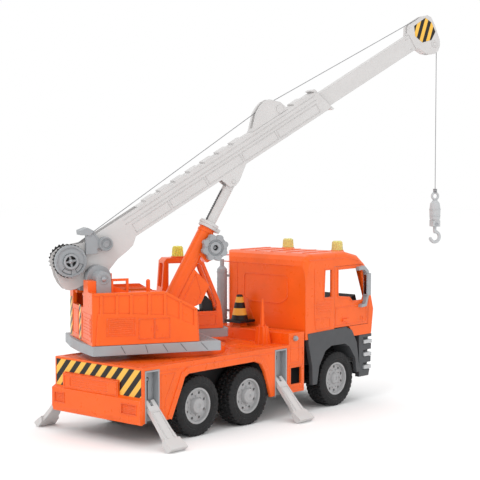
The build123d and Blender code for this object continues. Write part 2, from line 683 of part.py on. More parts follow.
def make_inner_boom():
    beam = block(inner_rear, head_rear + 2, -inner_half, inner_half, inner_low, inner_high)
    beam -= block(inner_rear - 1, head_rear - 6, -inner_half + 2.2, inner_half - 2.2, inner_low + 2.2,
                  inner_high - 2.2)
    return beam


def make_boom_head():
    """Fork that holds the sheave, with the rope pin above it."""
    half = 8.6
    outline = [(head_rear - 3, inner_low), (head_rear, inner_low), (544, 5), (550, 0), (556, -2), (562, -1),
               (568, 4), (571, 10), (573, 20), (575, 32), (575.5, 43), (572, 48), (566, 50), (544, 50),
               (540, 48), (head_rear - 3, inner_high)]
    head = prism_y(outline, -half, half)
    head += prism_y([(570, 8), (575, 11), (576, 15), (571, 17)], -3, 3)
    head -= block(head_rear - 20, head_rear + 2.05, -inner_half - 0.03, inner_half + 0.03, inner_low - 0.03,
                  inner_high + 0.03)
    head -= block(head_rear + 7, 580, -4.3, 4.3, -9, 60)
    head -= block(head_rear - 5, 560, -1.6, 1.6, inner_high + 2.5, 60)
    head += rod_y(558, 44.6, 2.6, -5, 5)
    head += rod_y(*sheave_at, 2.5, -half - 1.0, half + 1.0)
    return head


def make_tip_sheave():
    u, v = sheave_at
    wheel = turned_z([(2.5 + run_gap, -3.6), (sheave_r + 2.2, -3.6), (sheave_r + 2.2, -2.6), (sheave_r, -1.2),
                      (sheave_r, 1.2), (sheave_r + 2.2, 2.6), (sheave_r + 2.2, 3.6), (2.5 + run_gap, 3.6)])
    return Pos(u, 0, v) * Rot(90, 0, 0) * wheel


# ---- lift ram ----------------------------------------------------------------------------------------
knob_at = (15.4, -87.2)                   # in the ram frame


def make_ram_rod():
    """Rod with the eye at its top and the flat rack along its rear side."""
    rod = rod_z(0, 0, 7.0, -131, -9)
    rod += rod_y(0, 0, 5.6, -7.0, 7.0) + block(-5, 5, -6.9, 6.9, -12, -2)
    rod -= rod_y(0, 0, 2.5 + run_gap, -10, 10)
    rod -= block(-10, -5.6, -3.2, 3.2, -128, -14)
    return rod


def make_ram_barrel():
    """Orange tube with the pinion box in front of it and the flat gear housing below."""
    foot = -ram_length
    tube = rod_z(0, 0, 10.0, foot + 10, -68)
    tube += prism_y([(6, -92 - 31), (35, -ram_length + 67), (36, -ram_length + 41), (20, -ram_length + 22),
                     (6, -ram_length + 22)], -9, 9)
    tube += prism_y([(4, -73), (22, -76), (27, -88), (24, -100), (18, -108), (4, -104)], -9.5, 9.5)
    tube += rod_y(0, foot + 8, 7.5, -8.5, 8.5)
    tube -= rod_z(0, 0, 7.3, foot + 16, -60)
    tube -= rod_y(knob_at[0], knob_at[1], 8.2, -8.0, 8.0)
    tube -= rod_y(knob_at[0], knob_at[1], 2.0 + run_gap, -12, 12)
    return tube


def make_ram_collar():
    """White gland at the mouth of the barrel."""
    gland = rod_z(0, 0, 12.6, -68, -60) + block(0, 15, -8, 8, -68, -63)
    return gland - rod_z(0, 0, 7.3, -70, -55)


def make_luff_knob():
    """Scalloped knob with its pinion."""
    x, z = knob_at
    knob = rod_y(x, z, 15.2, -21.5, -12.6)
    for i in range(8):
        a = 2 * pi * i / 8
        knob += rod_y(x + 13.6 * cos(a), z + 13.6 * sin(a), 4.0, -21.5, -12.6)
    knob -= rod_y(x, z, 10.6, -23, -20)
    knob += rod_y(x, z, 7.5, -21.6, -19)
    knob -= rod_y(x, z, 3.6, -24, -17)
    knob += rod_y(x, z, 2.0, -18, 9.8)
    knob += rod_y(x, z, 7.3, -7, 7)
    return knob


# ---- rope, hook ----------------------------------------------------------------------------------------
pin_corner = (562.6, 49.4)                # where the rope's runs meet above the pin in the head


def fall_point(drop):
    """Point of the hanging line, in the boom frame, this far below the sheave's centre."""
    a = radians(boom_deg)
    x = fall_x - pivot[0]
    z = sheave_centre[1] - drop - pivot[1]
    return x * cos(a) + z * sin(a), -x * sin(a) + z * cos(a)


def sheave_corner():
    """Where the run from the pin, tangent to the sheave, meets the hanging line."""
    corner = boom_point(*pin_corner)
    dx, dz = sheave_centre[0] - corner[0], sheave_centre[1] - corner[1]
    slope = atan2(dz, dx) + asin((sheave_r + rope_r) / hypot(dx, dz))
    return fall_point(sheave_centre[1] - corner[1] - (fall_x - corner[0]) * tan(slope))


# Along the boom: off the drum, over the guide, over the pin in the head and down the sheave's front.
rope_route = [(-15.0, 44.6), guide_rope, pin_corner, sheave_corner(), fall_point(1)]
rope_bends = [8.0, 3.1, sheave_r + rope_r]


def rope_tube(points, bends):
    """Plain round tube along straight runs joined by arcs; also gives the length of its path."""
    path = FilletPolyline(*[(u, 0, v) for u, v in points], radius=bends)
    section = Plane(origin=path @ 0, z_dir=path % 0) * Circle(rope_r)
    return sweep(section, path=path), path.length


knot_z = 296.5


def make_hook_block():
    """Knot, eye, weight and yoke above the hook."""
    block_shape = Pos(0, 0, knot_z) * Sphere(2.6)
    block_shape += Pos(0, 0, 289.2) * Rot(90, 0, 0) * Torus(4.6, 1.6)
    block_shape += rod_z(0, 0, 2.0, 282, 285)
    block_shape += turned_z([(0, 283), (3.2, 283.5), (6.6, 279), (7.6, 270), (7.2, 258), (5.2, 255), (0, 255)])
    block_shape += block(-5.6, 5.6, -5, 5, 247.5, 256)
    block_shape += rod_y(0, 250.5, 1.6, -6.4, 6.4)
    return block_shape


def make_hook():
    """Round-section hook on a short shank; the opening is towards the rear."""
    centre_z, bend_r, wire = 233.2, 7.0, 2.3
    shank = rod_z(0, 0, wire, centre_z + bend_r, 247.2)
    path = CenterArc((0, 0), bend_r, 90, -250)
    bow = sweep(Plane(origin=(0, bend_r, 0), x_dir=(0, 0, 1), z_dir=(1, 0, 0)) * Circle(wire), path=path)
    bow = Pos(0, 0, centre_z) * Rot(90, 0, 0) * bow
    tip = radians(90 - 250)
    ends = Pos(0, 0, centre_z + bend_r) * Sphere(wire)
    ends += Pos(bend_r * cos(tip), 0, centre_z + bend_r * sin(tip)) * Sphere(wire)
    return shank + bow + ends


# ---- cone ------------------------------------------------------------------------------------------------
def make_deck_cone():
    x, y, z = 150.0, 26.0, step_z + 6.2
    cone = Pos(x, y, z + 1.5) * Box(30, 30, 3)
    cone += Pos(x, y, z) * turned_z([(0, 0), (11.5, 0), (11.5, 4), (4.4, 36), (3.4, 37.5), (0, 37.5)])
    cone -= Pos(x, y, z) * turned_z([(0, -1), (9.6, -1), (9.6, 3), (3.4, 31), (0, 31)])
    return cone


# ---- write every node -----------------------------------------------------------------------------------
save("chassis_body", make_chassis_body())
save("chassis_frame", make_chassis_frame())
axles = {"rear": rear_axle_x, "middle": middle_axle_x, "front": front_axle_x}
for place, axle_x in axles.items():
    save(f"{place}_axle_rod", make_axle_rod(axle_x))
    is_front = place == "front"
    save(f"{place}_rims", Compound([make_rim(axle_x, 1, is_front), make_rim(axle_x, -1, is_front)]))
    save(f"{place}_tyres", Compound([make_tyre(axle_x, 1), make_tyre(axle_x, -1)]))
save("cab_shell", make_cab_shell())
save("cab_interior", make_cab_interior())
save("steering_wheel", make_steering_wheel())
for name, side in (("left", 1), ("right", -1)):
    save(f"{name}_door", make_door(side))
    save(f"{name}_mirror", make_mirror(side))
save("front_fenders", make_front_fenders())
save("front_bumper", make_bumper())
save("lamp_steps", make_lamp_steps())
save("front_grille", make_grille())
save("roof_beacons", Compound([make_beacon(beacon_x, y, beacon_z + 0.02, 8.4, 14.5)
                               for y in (-beacon_y, beacon_y)]))
save("exhaust_stack", make_exhaust())
save("side_button", make_side_button())
save("turntable_ring", make_turntable_ring())
save("outrigger_rails", Compound([make_rail(x, side) for x in rail_x.values() for side in (1, -1)]))
for place, x in rail_x.items():
    for name, side in (("left", 1), ("right", -1)):
        save(f"{place}_{name}_leg_pin", make_leg_pin(x, side))
        save(f"{place}_{name}_leg", make_leg(x, side))
save("deck_cone", make_deck_cone())

save("platform", on_turntable(make_platform()))
save("superstructure_shell", on_turntable(make_superstructure_shell()))
save("operator_cab", on_turntable(make_operator_cab()))
save("operator_seat", on_turntable(make_operator_seat()))
save("operator_beacon", on_turntable(make_beacon(20.5, 59, 210.02, 8.2, 15)))
save("pivot_brackets", on_turntable(make_pivot_brackets()))
save("boom_pivot_pin", on_turntable(make_pivot_pin()))

save("outer_boom", on_boom(make_outer_boom()))
save("rope_guide", on_boom(make_rope_guide()))
save("winch_drum", on_boom(make_winch_drum()))
save("winch_disc", on_boom(make_winch_disc()))
save("winch_hub", on_boom(make_winch_hub()))
save("ratchet_lever", on_boom(make_ratchet_lever()))
save("inner_boom", on_boom(make_inner_boom()))
save("boom_head", on_boom(make_boom_head()))
save("tip_sheave", on_boom(make_tip_sheave()))
rope, rope_path = rope_tube(rope_route, rope_bends)
print("rope along the boom: length", round(rope_path, 1), "bends", rope_bends,
      "volume over section times length", round(rope.volume / (pi * rope_r ** 2 * rope_path), 4))
save("boom_rope", on_boom(rope))
save("fall_rope", on_fall(rod_z(0, 0, rope_r, knot_z + 2.65, sheave_centre[1] - 1.02)))
print("fall: from", round(knot_z + 2.65, 2), "to", round(sheave_centre[1] - 1.02, 2), "at", round(fall_x, 2))
save("ram_rod", on_ram(make_ram_rod()))
save("ram_barrel", on_ram(make_ram_barrel()))
save("ram_collar", on_ram(make_ram_collar()))
save("luff_knob", on_ram(make_luff_knob()))
save("hook_block", on_fall(make_hook_block()))
save("hook", on_fall(make_hook()))
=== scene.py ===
"""Looks of the toy crane truck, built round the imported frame. Lengths are in metres, and in the helpers below
they are given in millimetres in the frame of the piece they belong to."""

import json
from math import cos, pi, radians, sin

import bmesh
import bpy
from mathutils import Matrix, Vector


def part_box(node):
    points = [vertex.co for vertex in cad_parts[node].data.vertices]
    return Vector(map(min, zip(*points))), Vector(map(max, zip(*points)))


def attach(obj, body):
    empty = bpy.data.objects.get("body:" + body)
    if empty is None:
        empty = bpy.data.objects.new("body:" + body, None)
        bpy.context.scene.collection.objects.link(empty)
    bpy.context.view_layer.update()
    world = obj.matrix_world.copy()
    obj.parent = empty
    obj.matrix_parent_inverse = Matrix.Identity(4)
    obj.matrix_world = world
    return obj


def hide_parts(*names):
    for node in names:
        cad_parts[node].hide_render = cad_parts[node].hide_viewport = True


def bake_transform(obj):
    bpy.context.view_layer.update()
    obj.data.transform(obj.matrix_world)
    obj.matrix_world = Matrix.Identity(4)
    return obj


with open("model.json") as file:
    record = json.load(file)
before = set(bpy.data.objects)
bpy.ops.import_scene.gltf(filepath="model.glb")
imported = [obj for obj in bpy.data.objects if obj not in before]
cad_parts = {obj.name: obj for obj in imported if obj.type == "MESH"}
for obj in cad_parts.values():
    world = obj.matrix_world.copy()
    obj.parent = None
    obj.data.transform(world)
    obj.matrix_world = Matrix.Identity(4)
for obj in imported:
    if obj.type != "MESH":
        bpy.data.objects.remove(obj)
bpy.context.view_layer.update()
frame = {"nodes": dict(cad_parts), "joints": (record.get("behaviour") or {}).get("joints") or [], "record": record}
nodes = frame["nodes"]
joints = {joint["name"]: joint for joint in frame["joints"]}
MM = 0.001

# places that several pieces share, in millimetres
rail_places = {"rear": -120.5, "front": 115.0}
rear_panel_face = -136.5
bumper_face = -142.0
deck_top = 95.0
leg_pivot = (73.2, 50.5)
leg_tilt = radians(42.0)
roof_beacons = ((277, -45, 210.4), (277, 45, 210.4))
operator_beacon = ((20.5, 59, 210),)
boom_pivot_at = (-109, 194)
winch_axis = (-18.2, 35.1)
knob_axis = (15.4, -87.2)
exhaust_axis = (160.5, 68.5)
cone_post_axis = (117, -44)

# ---- frames -------------------------------------------------------------------------------------------
up = Vector((0, 0, 1))
left = -Vector(joints["boom_luff"]["axis"])
ahead = left.cross(up)
boom_along = Vector(joints["boom_telescope"]["axis"])
ram_down = Vector(joints["ram_stroke"]["axis"])


def frame_matrix(x, y, z, origin):
    """Matrix of a right-handed frame with these axes."""
    matrix = Matrix((x, y, z)).transposed().to_4x4()
    matrix.translation = origin
    return matrix


TRUCK = Matrix.Identity(4)
TURNTABLE = frame_matrix(ahead, left, up, Vector())
BOOM = frame_matrix(boom_along, left, boom_along.cross(left), Vector(joints["boom_luff"]["pos_m"]))
RAM = frame_matrix(left.cross(-ram_down), left, -ram_down, Vector(joints["ram_swing"]["pos_m"]))
fall_at = sum(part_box("fall_rope"), Vector()) / 2
FALL = frame_matrix(ahead, left, up, Vector((fall_at.x, fall_at.y, 0)))


# ---- materials ----------------------------------------------------------------------------------------
class Nodes:
    """Short calls for a material's node tree."""

    def __init__(self, name):
        self.material = bpy.data.materials.new(name)
        self.material.use_nodes = True
        self.tree = self.material.node_tree
        self.shader = self.tree.nodes["Principled BSDF"]
        self.position = self.add("TexCoord").outputs["Object"]

    def add(self, kind, **settings):
        node = self.tree.nodes.new("ShaderNode" + kind)
        for key, value in settings.items():
            setattr(node, key, value)
        return node

    def link(self, source, target):
        self.tree.links.new(source, target)

    def feed(self, socket, value):
        if isinstance(value, bpy.types.NodeSocket):
            self.link(value, socket)
        else:
            socket.default_value = value

    def noise(self, scale, detail=3.0, rough=0.5, position=None):
        node = self.add("TexNoise")
        self.link(position or self.position, node.inputs["Vector"])
        node.inputs["Scale"].default_value = scale
        node.inputs["Detail"].default_value = detail
        node.inputs["Roughness"].default_value = rough
        return node.outputs["Fac"]

    def math(self, operation, a, b=0.5, c=0.5):
        node = self.add("Math", operation=operation)
        for socket, value in zip(node.inputs, (a, b, c)):
            self.feed(socket, value)
        return node.outputs[0]

    def remap(self, value, low, high, to_low, to_high):
        node = self.add("MapRange")
        self.feed(node.inputs["Value"], value)
        for key, number in zip(("From Min", "From Max", "To Min", "To Max"), (low, high, to_low, to_high)):
            node.inputs[key].default_value = number
        return node.outputs["Result"]

    def mix(self, factor, a, b):
        node = self.add("Mix", data_type="RGBA")
        self.feed(node.inputs["Factor"], factor)
        self.feed(node.inputs[6], (*a, 1) if isinstance(a, tuple) else a)
        self.feed(node.inputs[7], (*b, 1) if isinstance(b, tuple) else b)
        return node.outputs[2]

    def along(self, direction):
        """Coordinate along a direction, in metres."""
        node = self.add("VectorMath", operation="DOT_PRODUCT")
        self.link(self.position, node.inputs[0])
        node.inputs[1].default_value = direction
        return node.outputs["Value"]

    def rounded(self, radius):
        """Normal with softened edges, and a mask that is 1 on them."""
        bevel = self.add("Bevel", samples=4)
        bevel.inputs["Radius"].default_value = radius
        flat = self.add("NewGeometry").outputs["Normal"]
        dot = self.add("VectorMath", operation="DOT_PRODUCT")
        self.link(bevel.outputs["Normal"], dot.inputs[0])
        self.link(flat, dot.inputs[1])
        return bevel.outputs["Normal"], self.remap(dot.outputs["Value"], 0.995, 0.86, 0.0, 1.0)

    def bump(self, height, strength, distance, normal):
        node = self.add("Bump")
        node.inputs["Strength"].default_value = strength
        node.inputs["Distance"].default_value = distance
        self.link(height, node.inputs["Height"])
        self.link(normal, node.inputs["Normal"])
        return node.outputs["Normal"]


def moulded(name, colour, rough=0.38, edge=0.35, grain=0.10, mottle=0.07, radius=0.0009, pattern=None):
    """Injection-moulded plastic: faint flow mottling, fine grain, edges painted paler in patches (partly wear,
    partly a painted highlight) and dust in the texture.
    pattern, if given, returns the colour before mottling from the node helper."""
    n = Nodes(name)
    n.shader.inputs["Specular IOR Level"].default_value = 0.32
    base = pattern(n) if pattern else (*colour, 1)
    clouds = n.remap(n.noise(38, 4, 0.6), 0.3, 0.7, 1 - mottle, 1 + mottle * 0.5)
    tint = n.add("Mix", data_type="RGBA", blend_type="MULTIPLY")
    tint.inputs["Factor"].default_value = 1.0
    n.feed(tint.inputs[6], base)
    n.link(clouds, tint.inputs[7])
    normal, edges = n.rounded(radius)
    wear_and_highlight_patches = n.remap(n.noise(420, 3, 0.7), 0.38, 0.62, 0.0, 1.0)
    # painted highlight and wear: the edges turn paler in random patches
    edge_highlight_and_wear = n.math("MULTIPLY", edges, n.math("MULTIPLY", wear_and_highlight_patches, edge))
    pale = tuple(min(1.0, c * 0.6 + 0.4) for c in colour)
    n.link(n.mix(edge_highlight_and_wear, tint.outputs[2], pale), n.shader.inputs["Base Color"])
    streaks = n.noise(95, 5, 0.62)
    n.link(n.remap(streaks, 0.25, 0.75, rough - 0.07, rough + 0.10), n.shader.inputs["Roughness"])
    fine = n.noise(2600, 2, 0.5)
    n.link(n.bump(fine, grain, 0.00012, normal), n.shader.inputs["Normal"])
    return n


def stripes(direction, pitch, phase=0.0, dark=(0.012, 0.011, 0.010), light=(0.87, 0.50, 0.075)):
    """Two-colour diagonal stripes across a direction."""

    def pattern(n):
        step = n.math("FRACT", n.math("ADD", n.math("DIVIDE", n.along(direction), pitch), phase))
        return n.mix(n.math("GREATER_THAN", step, 0.5), dark, light)

    return pattern


def bands(levels, dark=(0.010, 0.009, 0.010), light=(0.80, 0.44, 0.06)):
    """Yellow rings between pairs of heights on a black cone."""

    def pattern(n):
        height = n.along((0, 0, 1))
        total = None
        for low, high in levels:
            ring = n.math("MULTIPLY", n.math("GREATER_THAN", height, low), n.math("LESS_THAN", height, high))
            total = ring if total is None else n.math("ADD", total, ring)
        return n.mix(total, dark, light)

    return pattern


ORANGE = (0.90, 0.125, 0.008)
WHITE = (0.60, 0.585, 0.578)
orange = moulded("orange_plastic", ORANGE, rough=0.30).material
white = moulded("white_plastic", WHITE, rough=0.42, edge=0.2, mottle=0.04).material
grey = moulded("grey_plastic", (0.34, 0.355, 0.37), rough=0.45, edge=0.3).material
light_grey = moulded("light_grey_plastic", (0.50, 0.51, 0.52), rough=0.42, edge=0.3).material
rim_grey = moulded("rim_plastic", (0.40, 0.40, 0.405), rough=0.42, edge=0.45).material
dark_grey = moulded("dark_grey_plastic", (0.070, 0.073, 0.078), rough=0.5, edge=0.25).material
black = moulded("black_plastic", (0.012, 0.012, 0.013), rough=0.55, edge=0.2).material


def make_rubber():
    n = moulded("tyre_rubber", (0.010, 0.010, 0.011), rough=0.60, edge=0.14, grain=0.35, mottle=0.2)
    dust = n.remap(n.noise(70, 6, 0.65), 0.5, 0.75, 0.0, 0.22)
    base = n.shader.inputs["Base Color"]
    worn = n.mix(dust, base.links[0].from_socket, (0.030, 0.028, 0.027))
    n.link(worn, base)
    return n.material


def make_lens(name, colour):
    n = moulded(name, colour, rough=0.22, edge=0.5, grain=0.03)
    n.shader.inputs["Transmission Weight"].default_value = 0.25
    n.shader.inputs["Subsurface Weight"].default_value = 0.2
    n.shader.inputs["Subsurface Radius"].default_value = (0.004, 0.003, 0.001)
    return n.material


def make_steel():
    n = moulded("steel_pin", (0.42, 0.43, 0.45), rough=0.3, edge=0.2, grain=0.15)
    n.shader.inputs["Metallic"].default_value = 1.0
    return n.material


def make_rope_material():
    """Twisted grey cord: slanted strands along it and soft fibres across."""
    n = moulded("rope", (0.20, 0.20, 0.21), rough=0.75, edge=0.0, grain=0.3, mottle=0.2)
    for key, value in (("Sheen Weight", 0.3), ("Sheen Roughness", 0.5)):
        n.shader.inputs[key].default_value = value
    wave = n.add("TexWave", wave_type="BANDS", bands_direction="DIAGONAL")
    n.link(n.position, wave.inputs["Vector"])
    wave.inputs["Scale"].default_value = 420
    base = n.shader.inputs["Base Color"]
    n.link(n.mix(wave.outputs["Fac"], base.links[0].from_socket, (0.34, 0.34, 0.35)), base)
    normal = n.shader.inputs["Normal"]
    n.link(n.bump(wave.outputs["Fac"], 0.5, 0.0002, normal.links[0].from_socket), normal)
    return n.material


def make_mirror_glass():
    n = moulded("mirror_glass", (0.62, 0.65, 0.68), rough=0.12, edge=0.1, grain=0.0)
    n.shader.inputs["Metallic"].default_value = 1.0
    return n.material


rubber = make_rubber()
mirror_glass = make_mirror_glass()
lens = make_lens("amber_lens", (0.93, 0.86, 0.30))
lens_strong = make_lens("amber_lens_strong", (0.98, 0.90, 0.14))
steel = make_steel()
rope_material = make_rope_material()
cone_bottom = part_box("deck_cone")[0].z
cone_bands = [(cone_bottom + low, cone_bottom + high) for low, high in ((0.0098, 0.0192), (0.0270, 0.0347))]
cone_paint = moulded("cone_plastic", (0.010, 0.009, 0.010), rough=0.45, edge=0.15,
                     pattern=bands(cone_bands)).material


def make_film(name, direction, pitch, phase=0.0):
    """Sticker film with stripes across a direction."""
    pattern = stripes(tuple(direction), pitch, phase)
    return moulded(name, (0.4, 0.3, 0.05), rough=0.3, edge=0.1, pattern=pattern).material


rear_stripes = make_film("rear_stripes", (0, 0.74, 0.67), 0.0139)
shell_stripes = make_film("shell_stripes", 0.74 * left + 0.67 * up, 0.0095)
head_stripes = make_film("head_stripes", ahead * 0.96 - up * 0.28, 0.0098, 0.3)

slot_materials = {
    "orange_plastic": orange, "white_plastic": white, "grey_plastic": grey, "rim_plastic": rim_grey,
    "light_grey_plastic": light_grey, "dark_grey_plastic": dark_grey, "black_plastic": black,
    "tyre_rubber": rubber, "amber_lens": lens,
    "steel_pin": steel, "rope": rope_material, "cone_plastic": cone_paint,
}
for subpart in frame["record"]["subparts"]:
    for material_slot in nodes[subpart["node"]].material_slots:
        material_slot.material = slot_materials[subpart["material_slot"]]
for material_slot in nodes["operator_beacon"].material_slots:
    material_slot.material = lens_strong
slot_names = {material.name: name for name, material in slot_materials.items()}
slot_names[lens_strong.name] = "amber_lens"


# ---- mesh building ------------------------------------------------------------------------------------
class Piece:
    """Collects solids, in millimetres in a frame of its own, and makes one object of them."""

    def __init__(self, name, place, body, material):
        self.name, self.place, self.body, self.material = name, place, body, material
        self.mesh = bmesh.new()

    def prism(self, outline, axis, low, high):
        """Outline in the two other axes (in X, Y, Z order), extruded along axis."""
        order = {"x": (2, 0, 1), "y": (0, 2, 1), "z": (0, 1, 2)}[axis]

        def corner(a, b, c):
            values = (a, b, c)
            return Vector([values[i] for i in order])

        rings = [[self.mesh.verts.new(corner(a, b, c)) for a, b in outline] for c in (low, high)]
        count = len(outline)
        faces = [self.mesh.faces.new(rings[0]), self.mesh.faces.new(rings[1])]
        for i in range(count):
            j = (i + 1) % count
            faces.append(self.mesh.faces.new((rings[0][i], rings[0][j], rings[1][j], rings[1][i])))
        bmesh.ops.recalc_face_normals(self.mesh, faces=faces)
        return self

    def block(self, x0, x1, y0, y1, z0, z1):
        return self.prism([(x0, y0), (x1, y0), (x1, y1), (x0, y1)], "z", z0, z1)

    def lathe(self, profile, centre, axis, steps=32):
        """Closed radius, height profile turned about an axis through centre."""
        turn = {"x": Matrix.Rotation(pi / 2, 3, "Y"), "y": Matrix.Rotation(-pi / 2, 3, "X"),
                "z": Matrix.Identity(3)}[axis]
        centre = Vector(centre)
        rings = []
        for i in range(steps):
            a = 2 * pi * i / steps
            rings.append([self.mesh.verts.new(centre + turn @ Vector((r * cos(a), r * sin(a), h)))
                          for r, h in profile])
        faces = []
        for i in range(steps):
            here, there = rings[i], rings[(i + 1) % steps]
            for j in range(len(profile)):
                k = (j + 1) % len(profile)
                if profile[j][0] < 1e-6 and profile[k][0] < 1e-6:
                    continue
                faces.append(self.mesh.faces.new((here[j], there[j], there[k], here[k])))
        bmesh.ops.remove_doubles(self.mesh, verts=[v for ring in rings for v in ring], dist=1e-5)
        faces = [f for f in faces if f.is_valid]
        bmesh.ops.recalc_face_normals(self.mesh, faces=faces)
        return self

    def rod(self, start, end, radius, steps=20):
        """Round rod between two points."""
        a, b = Vector(start), Vector(end)
        turn = (b - a).to_track_quat("Z", "Y").to_matrix()
        rings = []
        for point in (a, b):
            rings.append([self.mesh.verts.new(point + turn @ Vector((radius * cos(2 * pi * i / steps),
                                                                    radius * sin(2 * pi * i / steps), 0)))
                          for i in range(steps)])
        faces = [self.mesh.faces.new(rings[0]), self.mesh.faces.new(rings[1])]
        for i in range(steps):
            j = (i + 1) % steps
            faces.append(self.mesh.faces.new((rings[0][i], rings[0][j], rings[1][j], rings[1][i])))
        bmesh.ops.recalc_face_normals(self.mesh, faces=faces)
        return self

    def ribbon(self, points, width, axis, low, high, closed=False):
        """Band of constant width along a line of points, standing from low to high along axis."""
        outer, inner = [], []
        count = len(points)
        for i, point in enumerate(points):
            before = Vector(points[i - 1] if closed or i else point)
            after = Vector(points[(i + 1) % count] if closed or i < count - 1 else point)
            here = Vector(point)
            first, second = (here - before), (after - here)
            first = (first if first.length > 1e-9 else second).normalized()
            second = (second if second.length > 1e-9 else first).normalized()
            middle = (first + second).normalized()
            side = Vector((-middle.y, middle.x))
            reach = width / 2 / max(0.5, middle.dot(first))
            outer.append(here + side * reach)
            inner.append(here - side * reach)
        pairs = range(count if closed else count - 1)
        for i in pairs:
            j = (i + 1) % count
            self.prism([tuple(outer[i]), tuple(outer[j]), tuple(inner[j]), tuple(inner[i])], axis, low, high)
        return self

    def done(self, bevel=0.25, segments=2, smooth=35):
        """Makes the object, softens its edges and lets it ride on its body."""
        data = bpy.data.meshes.new(self.name)
        self.mesh.to_mesh(data)
        self.mesh.free()
        data.transform(Matrix.Scale(MM, 4))
        data.transform(self.place)
        obj = bpy.data.objects.new(self.name, data)
        bpy.context.scene.collection.objects.link(obj)
        data.materials.append(self.material)
        for face in data.polygons:
            face.use_smooth = True
        data.set_sharp_from_angle(angle=radians(smooth))
        if bevel:
            modifier = obj.modifiers.new("soft_edges", "BEVEL")
            modifier.width = bevel * MM
            modifier.segments = segments
            modifier.limit_method = "ANGLE"
            modifier.angle_limit = radians(40)
            modifier.harden_normals = True
        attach(obj, self.body)
        return obj


# ---- ropes --------------------------------------------------------------------------------------------
def rope(name, points, body_a, body_b, start, end, node, **facts):
    """Round rope along the smooth line of its route."""
    curve = bpy.data.curves.new(name + "_line", "CURVE")
    curve.dimensions = "3D"
    curve.resolution_u = 24
    line = curve.splines.new("NURBS")
    line.points.add(len(points) - 1)
    for control, point in zip(line.points, points):
        control.co = (*point, 1)
    line.order_u = 3
    line.use_endpoint_u = True
    line_object = bpy.data.objects.new(name + "_line", curve)
    bpy.context.scene.collection.objects.link(line_object)
    bpy.context.view_layer.update()
    sampled = bpy.data.meshes.new_from_object(line_object)
    path = [v.co.copy() for v in sampled.vertices]
    bpy.data.objects.remove(line_object)
    radius, sides = facts["diameter"] / 2, 10
    mesh = bmesh.new()
    rings = []
    side = left.copy()
    for i, point in enumerate(path):
        direction = (path[min(i + 1, len(path) - 1)] - path[max(i - 1, 0)]).normalized()
        other = direction.cross(side).normalized()
        turns = [2 * pi * k / sides for k in range(sides)]
        rings.append([mesh.verts.new(point + radius * (cos(a) * side + sin(a) * other)) for a in turns])
    for here, there in zip(rings, rings[1:]):
        for k in range(sides):
            mesh.faces.new((here[k], here[(k + 1) % sides], there[(k + 1) % sides], there[k]))
    mesh.faces.new(rings[0])
    mesh.faces.new(rings[-1])
    bmesh.ops.recalc_face_normals(mesh, faces=mesh.faces)
    data = bpy.data.meshes.new(name)
    mesh.to_mesh(data)
    mesh.free()
    for face in data.polygons:
        face.use_smooth = True
    data.materials.append(rope_material)
    obj = bpy.data.objects.new(name, data)
    bpy.context.scene.collection.objects.link(obj)
    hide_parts(node)
    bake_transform(obj)
    return obj


def boom_at(u, v, y=0.0):
    return BOOM @ Vector((u * MM, y * MM, v * MM))


rope_route = [(-15.0, 44.6), (304.5, 62.95), (310.5, 63.3), (316.5, 62.97), (556.6, 49.73), (562.6, 49.4),
              (563.6, 43.5), (568.8, 12.1)]
fall_top = Vector((fall_at.x, fall_at.y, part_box("fall_rope")[1].z))
fall_end = Vector((fall_at.x, fall_at.y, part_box("fall_rope")[0].z))
sheave_run = [fall_top + Vector((0, 0, z)) for z in (0.00415, 0.0)]
boom_points = [boom_at(u, v) for u, v in rope_route] + sheave_run
rope("boom_rope_cord", boom_points, "boom", "telescope", boom_at(320, 62), boom_at(553, 50), "boom_rope",
     length=0.6235, diameter=0.001, far_end="object", stiffness="limp", lay="taut")
rope("fall_rope_cord", [fall_top, (fall_top + fall_end) / 2, fall_end], "fall", "block", fall_top, fall_end,
     "fall_rope", length=0.1951, diameter=0.001, far_end="fitting", stiffness="limp", lay="hanging",
     with_pieces=[nodes["hook_block"]])


